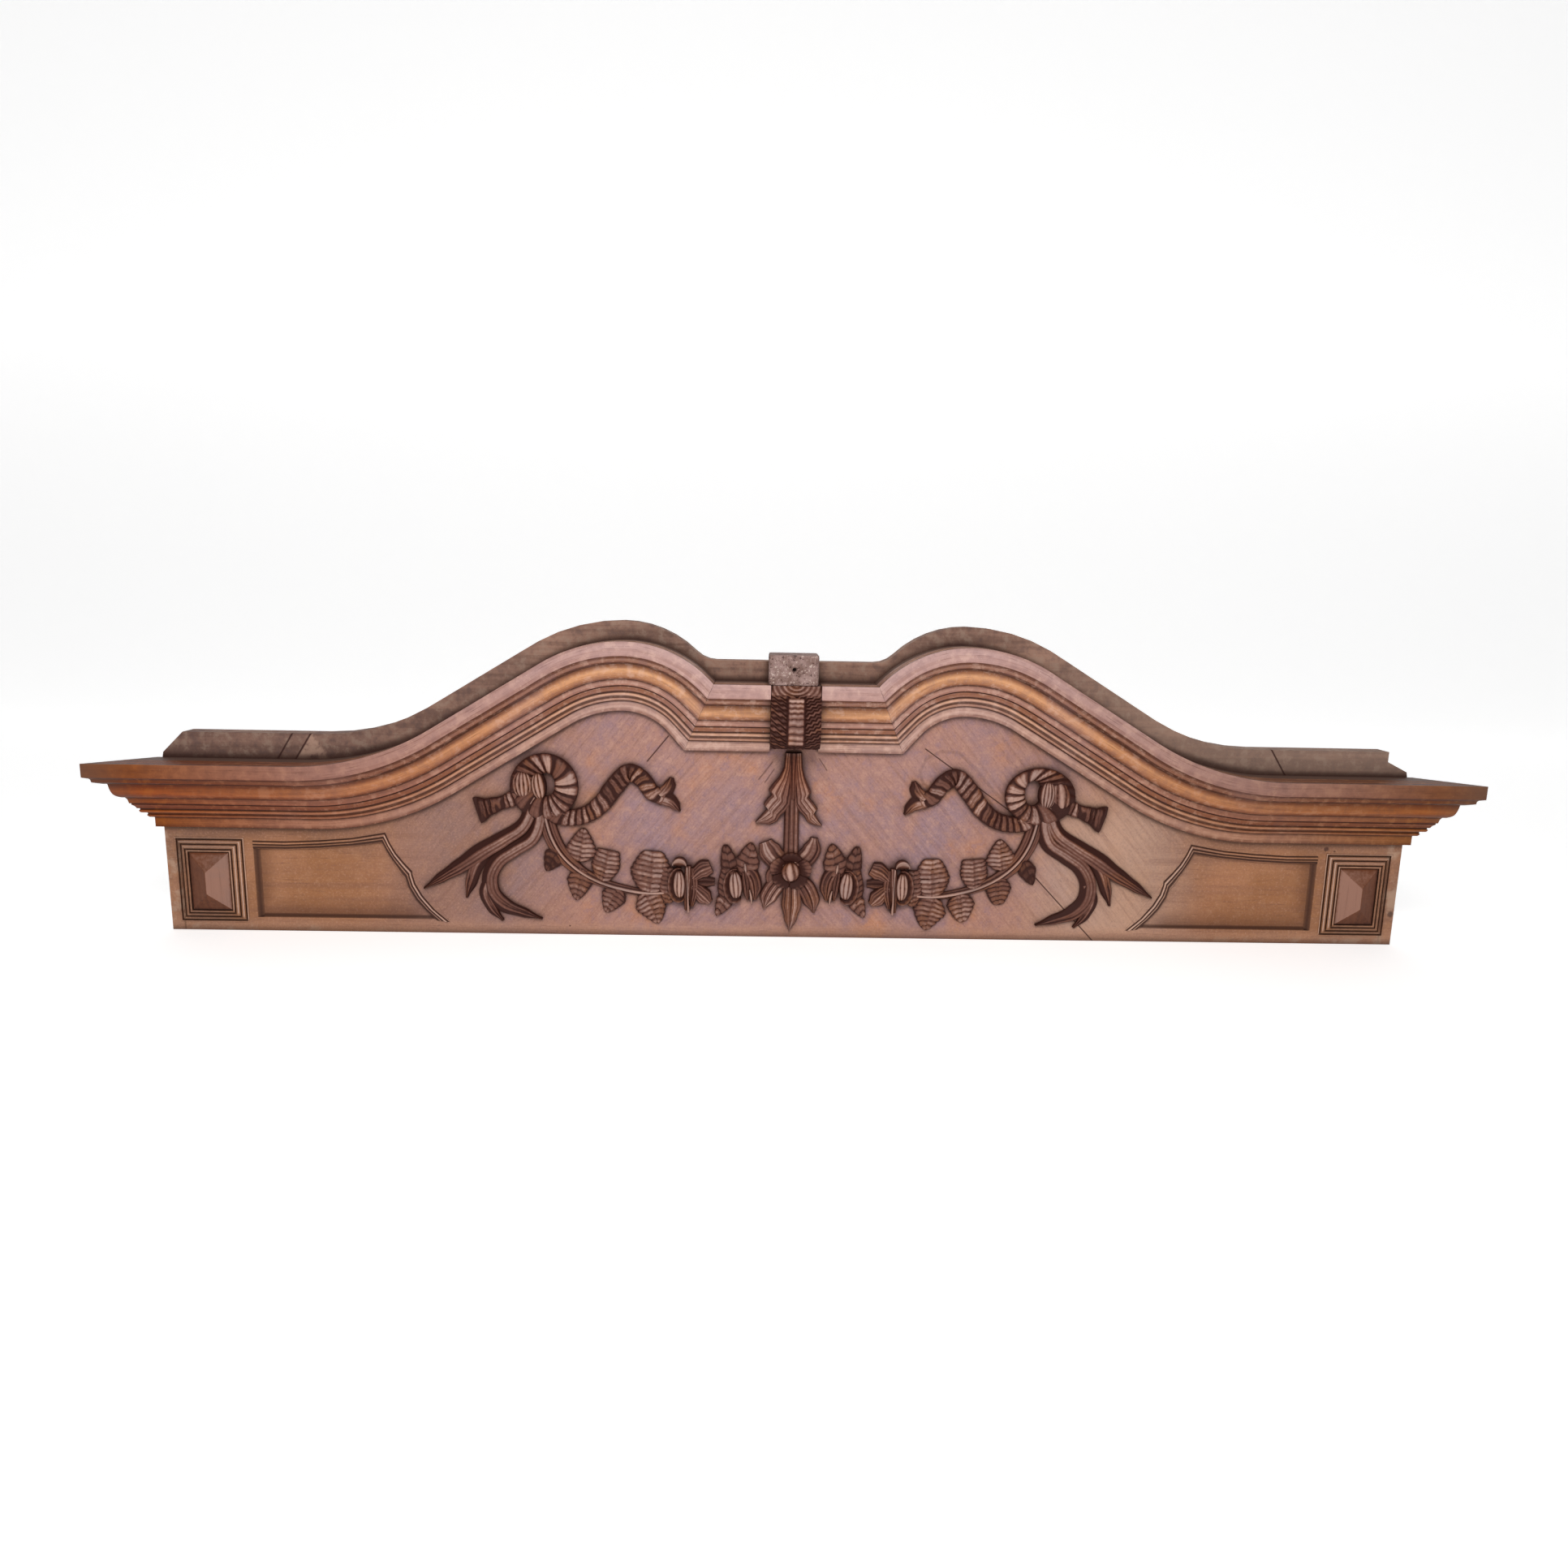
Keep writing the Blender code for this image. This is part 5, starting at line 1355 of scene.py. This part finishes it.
def bead_ring(outer, inner, low, high, side, seed):
    """Half round: height is low + (high - low) times the sine of the share across."""
    outer, inner = round_rectangle(outer), round_rectangle(inner)
    share = np.linspace(0, 1, 9)[None, :]
    x = outer[:, :1] + (inner[:, :1] - outer[:, :1]) * share
    z = outer[:, 1:] + (inner[:, 1:] - outer[:, 1:]) * share
    run = along(outer)
    dent = wavering(run, (0.031, 0.019, 0.011), seed, 0.00022)[:, None]
    proud = low + (high - low + dent) * np.sin(math.pi * share) ** 0.6
    ends = np.full((len(outer), 1), low - 0.0005)
    x, z = np.c_[x[:, :1], x, x[:, -1:]], np.c_[z[:, :1], z, z[:, -1:]]
    proud = np.c_[ends, proud, ends]
    hollow = np.r_[1, 1 - np.sin(math.pi * share[0]) ** 0.8, 1] * 1.35 - 0.50
    quarter = np.floor(np.arange(len(outer)) / len(outer) * 4).astype(int)[:, None]
    hollow = hollow * np.array(RING_CONTRAST)[quarter] + np.array(RING_SHADE)[quarter]
    metres = np.stack(np.broadcast_arrays(run[:, None], np.linspace(0, 0.01, 11)[None, :]), -1)
    return skin(on_face(side * x, z, proud), np.clip(hollow, -1, 1), metres, closed=True)


def end_frame(side):
    """Three nested beads between the cut grooves, and a low bead round them all."""
    rings = []
    for k in range(3):
        inner = nested(k + 1, -0.0002) if k < 2 else nested(k, GROOVE_W * 1.9)
        outer = nested(k, GROOVE_W - 0.0002)
        rings.append(bead_ring(outer, inner, -0.0015, 0.0009 - 0.0003 * k, side, 30 + k))
    outside = [edge + way * GROOVE_W for edge, way in zip(nested(0), (-1, 1, -1, 1))]
    rings.append(bead_ring(outside, nested(0, 0.0001), -0.0004, 0.0006, side, 40))
    return rings


ARRIS_SHARPNESS = 70.0


def hipped_block(side):
    """Height is the least of four slopes from the edges and the flat top, blended softly at the arrises."""
    box_low, box_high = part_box("boss_right")
    x0, x1, z0, z1 = box_low.x, box_high.x, box_low.z, box_high.z
    middle, half = (x0 + x1) / 2, (x1 - x0) / 2
    path = np.c_[np.full(131, middle), np.linspace(z0, z1, 131)]
    skirt = BOSS_FLOOR + 0.0018
    long_slope = (z1 - z0) / 2 - 0.0150

    def slopes(u, v):
        return np.minimum(u, 1 - u) * (z1 - z0) / long_slope, (1 - np.abs(v)) * half / (half - 0.0008)

    def height(u, v):
        from_ends, from_sides = slopes(u, v)
        total = sum(np.exp(-ARRIS_SHARPNESS * slope) for slope in (from_ends, from_sides, 1.0))
        blend = -np.log(total) / ARRIS_SHARPNESS
        return skirt + (BOSS_TOP - skirt) * np.clip(blend, 0, 1)

    def hollow(u, v):
        from_ends, from_sides = slopes(u, v)
        lower, upper = (from_ends < from_sides) & (u < 0.5), (from_ends < from_sides) & (u > 0.5)
        outward = (from_ends >= from_sides) & (v < 0)
        rim = np.minimum(np.minimum(u, 1 - u) * (z1 - z0), (1 - np.abs(v)) * half)
        # Facets facing down, up and outwards carry painted shade; the last term darkens the block along its
        # foot.
        return 0.05 + 0.50 * lower + 0.22 * upper + 0.42 * outward + 0.45 * np.exp(-rim / 0.0012)

    return strip(path, lambda u: half, height, hollow, side, across=91, foot=BOSS_FLOOR)


# %% [markdown]
# The sunk panels have a double bead along their top and slanting side, and a soft cove at the end and
# the bottom, where a plane was run along.

# %% Panel beads and coves
PANEL_DEPTH = 0.0028
PANEL_FOOT = -PANEL_DEPTH - 0.0004
BAND_TOP = ((0.690, 0.1197), (0.648, 0.1193), (0.606, 0.1214), (0.564, 0.1250), (0.5212, 0.1328))
BAND_SLANT = (((0.5212, 0.1328), (0.5161, 0.1200), (0.5090, 0.1065), (0.4997, 0.0944), (0.4889, 0.0821)),
              ((0.4889, 0.0821), (0.4889, 0.0784), (0.4854, 0.0654), (0.4767, 0.0496), (0.4621, 0.0311),
               (0.4435, 0.0146)))
FIELD_TOP = ((0.690, 0.1085), (0.648, 0.1083), (0.606, 0.1103), (0.564, 0.1138), (0.5266, 0.1185))
FIELD_SLANT = (((0.5266, 0.1185), (0.5200, 0.1055), (0.5130, 0.0935), (0.4990, 0.0730)),
               ((0.4990, 0.0730), (0.4955, 0.0600), (0.4870, 0.0440), (0.4760, 0.0310), (0.4615, 0.0165)))


# Place and width of the quirks across a band, as shares of its width.
BAND_QUIRKS = ((0.03, 0.10), (0.44, 0.085), (0.76, 0.11))


def panel_band(side, outer, inner, seed, rubbed=1.0):
    """Two beads between dark quirks, and a slope down to the sunk field, all across one band."""
    outer, inner = evenly(outer, 90), evenly(inner, 90)
    dent = wavering(along(outer), (0.043, 0.027, 0.012), seed, 0.00022)[:, None]

    def bead(t, at, half):
        return np.sqrt(np.clip(1 - ((t - at) / half) ** 2, 0, 1))

    def height(u, v):
        t = (1 - v) / 2
        slope = np.clip((t - 0.88) / 0.12, 0, 1) ** 1.2
        return 0.00025 + (0.0011 + dent) * bead(t, 0.26, 0.15) + 0.0006 * bead(t, 0.58, 0.10) - 0.0030 * slope

    def hollow(u, v):
        t = (1 - v) / 2
        quirks = sum(np.exp(-((t - at) / wide) ** 2) for at, wide in BAND_QUIRKS)
        crests = rubbed * (0.42 * bead(t, 0.24, 0.10) + 0.30 * bead(t, 0.60, 0.07))
        return 2.0 * quirks - crests + 0 * u

    return sheet(outer, inner, height, hollow, side, across=49, foot=PANEL_FOOT)


def sliver(side):
    """Level filling between the straight edge of the sunk panel in the solid and the curved band."""
    straight = evenly(((0.4880, 0.0800), (0.4425, 0.0140)), 40)
    return sheet(straight, evenly(BAND_SLANT[1], 40), lambda u, v: 0.00012, lambda u, v: 0.0,
                 side, across=5, foot=PANEL_FOOT)


def cove(side, start, stop, width):
    """Hollow fillet beside a panel's edge, from the frieze level down to the panel's floor."""
    def height(u, v):
        return -0.0001 - (PANEL_DEPTH - 0.0001) * np.sin((1 - v) / 2 * math.pi / 2) ** 1.3

    def hollow(u, v):
        # Painted shade in the cove, deepest along its middle.
        return 0.75 - 0.3 * np.abs(v)

    return strip(evenly((start, stop), 60), lambda u: width / 2, height, hollow, side, across=11,
                 foot=PANEL_FOOT)


def panel_trim(side):
    """Bead bands, filling and both coves of one panel."""
    end_x, floor_z = PANEL_X - 0.004, PANEL_BOTTOM_Z + 0.0025
    lines = zip((BAND_TOP, *BAND_SLANT), (FIELD_TOP, *FIELD_SLANT))
    bands = [panel_band(side, outer, field, 50 + k, 0.35 + 0.65 * (k > 0))
             for k, (outer, field) in enumerate(lines)]
    return bands + [
        sliver(side),
        cove(side, (end_x, 0.1090), (end_x, PANEL_BOTTOM_Z), 0.008),
        cove(side, (PANEL_X - 0.008, floor_z), (0.4620, floor_z), 0.005),
    ]


# %% [markdown]
# The bracket in the middle is a console: a curl at its top, a strip of cross reeds down its front, and
# rows of slanting cuts on both sides. The block above it is rough and dusty, with a nail hole.

# %% Bracket and block
KEY_LOW, KEY_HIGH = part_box("keystone_bracket")
KEY_OUT, KEY_STRIP = 0.070, 0.0105


def bracket():
    """Front surface over height share t and width share v: a swelling body plus the strip, reeds and curl."""
    t = np.linspace(0, 1, 130)[:, None]
    v = np.linspace(-1, 1, 75)[None, :]
    half = KEY_HIGH.x
    strip_edge = KEY_STRIP / half
    body = KEY_OUT * (0.80 + 0.20 * np.sin(math.pi * np.minimum(1.0, t * 0.9 + 0.1)))
    body = body - 0.010 * np.clip(1 - t * 8, 0, 1)
    on_strip = 1 / (1 + np.exp((np.abs(v) - strip_edge) * half / 0.00045))
    on_strip = on_strip * np.clip((t - 0.06) / 0.03, 0, 1) * np.clip((0.83 - t) / 0.04, 0, 1)
    reed_phase = t * 10.5 + 0.30 * np.sin(9 * t) + 0.05 * np.sin(40 * v * t)
    reeds = groove(reed_phase, 2.0)
    cut_phase = t * 17 - 3.0 * np.abs(v) + 0.45 * np.sin(7 * t) + 0.20 * np.sin(23 * v + 31 * t)
    cuts = groove(cut_phase, 1.5)
    curl = np.clip((t - 0.82) / 0.05, 0, 1)
    turn = np.sqrt(((t - 1.03) * 0.078) ** 2 + (v * half * 0.75) ** 2)
    arcs = groove(turn / 0.0046, 1.6)
    sides = (1 - on_strip) * (1 - curl)
    proud = body + 0.0040 * on_strip * (1 - 0.45 * reeds) - 0.0030 * sides * cuts
    proud = proud + curl * (0.0025 - 0.0022 * arcs) * np.clip(1.25 - np.abs(v), 0, 1) ** 0.5
    proud = proud - 0.003 * np.abs(v) ** 8
    proud = np.minimum(proud, FACE_Y - KEY_LOW.y)
    wall = np.exp(-((np.abs(v) - strip_edge) * half / 0.0014) ** 2) * (1 - curl)
    strip_tone = on_strip * (0.02 + 0.72 * reeds + 0.24 * patchy(reed_phase, 9))
    side_tone = sides * (0.40 + 0.75 * cuts + 0.35 * patchy(cut_phase, 4))
    hollow = strip_tone + side_tone + curl * (0.30 + 0.5 * arcs) + wall * 0.8
    z = KEY_LOW.z + (KEY_HIGH.z - KEY_LOW.z) * t
    x = half * v * (1 + 0 * t)
    ends = np.full((len(t), 1), BACK_GAP)
    x, z = np.c_[x[:, :1], x, x[:, -1:]], np.broadcast_to(z, (len(t), 77))
    proud = np.c_[ends, proud, ends]
    hollow = np.pad(np.clip(hollow, 0, 1), ((0, 0), (1, 1)), constant_values=0.6)
    metres = np.stack((z, x), -1)
    return [skin(on_face(x, z, proud), hollow, metres)]


def rough_block():
    """Rounded-square rings up the block; noise roughens it and a funnel makes the nail hole."""
    low, high = (np.array(corner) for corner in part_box("cap_block"))
    middle, half = (low + high) / 2, (high - low) / 2
    angle = np.linspace(0, 2 * math.pi, 240, endpoint=False)[None, :]
    level = np.r_[0.0, np.linspace(0.02, 0.98, 40), 1.0][:, None]
    power = 14.0
    c, s = np.cos(angle), np.sin(angle)
    square = (np.abs(c) ** power + np.abs(s) ** power) ** (-1 / power)
    pull = 1 - 0.030 * np.abs(2 * level - 1) ** 16
    x, y = square * c * pull, square * s * pull
    waves = np.sin(31 * x + 51 * level) * np.sin(29 * y + 23 * level) + np.sin(67 * x + 41 * y + 37 * level)
    rough = waves * 0.00022
    x = middle[0] + x * (half[0] - 0.0003 + rough)
    y = middle[1] + y * (half[1] - 0.0003 + rough)
    z = low[2] + (high[2] - low[2]) * level + 0 * x
    near = np.hypot(x - (middle[0] + 0.0005), z - (low[2] + 0.52 * (high[2] - low[2])))
    front = y < middle[1]
    hole = front * np.exp(-(near / 0.0024) ** 4)
    nibble = front * np.exp(-(np.hypot(x - middle[0] - 0.001, z - high[2]) / 0.0028) ** 4) * 0.6
    y = y + 0.0060 * hole + 0.0030 * nibble
    metres = np.stack(np.broadcast_arrays(angle * 0.03, z), -1)
    return [skin(np.stack((x, y, z), -1), np.clip(hole + nibble, 0, 1), metres)]


# %% Remaining pieces
raw_wood = raw_finish()
board_polish = board_finish()
for word, side in SIDES:
    piece(f"end_block_{word}", [hipped_block(side)], block_polish, [f"boss_{word}"])
    piece(f"end_frame_{word}", end_frame(side), board_polish)
    piece(f"panel_trim_{word}", panel_trim(side), board_polish)
piece("bracket", bracket(), carving_polish, ["keystone_bracket"])
piece("rough_block", rough_block(), raw_wood, ["cap_block"])
board = bpy.data.objects["frieze_board"]
board.data.materials.clear()
board.data.materials.append(board_polish)

# %% [markdown]
# The crest stands on a pale floor that curves up behind it, under one broad soft light near the camera.

# %% Stage and lights
def backdrop():
    """Floor profile carried sideways: level, then a quarter round of the given radius, then upright."""
    reach, radius = 6.0, 1.5
    turn = np.linspace(0, math.pi / 2, 24)
    y = np.r_[-4.0, 2.0 + radius * np.sin(turn), 2.0 + radius]
    z = np.r_[0.0, radius * (1 - np.cos(turn)), 5.0]
    x = np.linspace(-reach, reach, 3)[:, None]
    rings = np.stack(np.broadcast_arrays(x, y, z), -1)
    n, m = rings.shape[:2]
    i, j = np.arange(n - 1)[:, None], np.arange(m - 1)[None, :]
    faces = np.stack((i * m + j, (i + 1) * m + j, (i + 1) * m + j + 1, i * m + j + 1), -1).reshape(-1, 4)
    mesh = bpy.data.meshes.new("backdrop")
    mesh.from_pydata(rings.reshape(-1, 3).tolist(), [], faces.tolist())
    mesh.shade_smooth()
    paper = Finish("pale_paper", Base_Color=tone(246, 246, 246), Roughness=0.9,
                   Emission_Color=tone(255, 255, 255),
                   Emission_Strength=0.5)
    mesh.materials.append(paper.material)
    thing = bpy.data.objects.new("backdrop", mesh)
    bpy.context.scene.collection.objects.link(thing)


def softbox(name, place, aim, size, power, colour):
    """Square area light that faces a point."""
    light = bpy.data.lights.new(name, "AREA")
    light.size, light.energy, light.color = size, power, colour
    lamp = bpy.data.objects.new(name, light)
    bpy.context.scene.collection.objects.link(lamp)
    ahead = np.array(aim, float) - np.array(place, float)
    ahead /= np.linalg.norm(ahead)
    right = np.cross(ahead, (0, 0, 1))
    right /= np.linalg.norm(right)
    matrix = np.eye(4)
    matrix[:3, :4] = np.c_[right, np.cross(right, ahead), -ahead, place]
    lamp.matrix_world = Matrix(matrix.tolist())


backdrop()
softbox("key", (-0.10, -1.5, 1.30), (0.0, 0.0, 0.15), 0.7, 20, (1.0, 0.98, 0.97))
bpy.context.scene.view_settings.view_transform = "Standard"
world = bpy.data.worlds.new("studio")
bpy.context.scene.world = world
world.use_nodes = True
world.node_tree.nodes["Background"].inputs["Color"].default_value = (1.0, 1.0, 1.0, 1.0)
world.node_tree.nodes["Background"].inputs["Strength"].default_value = 0.30
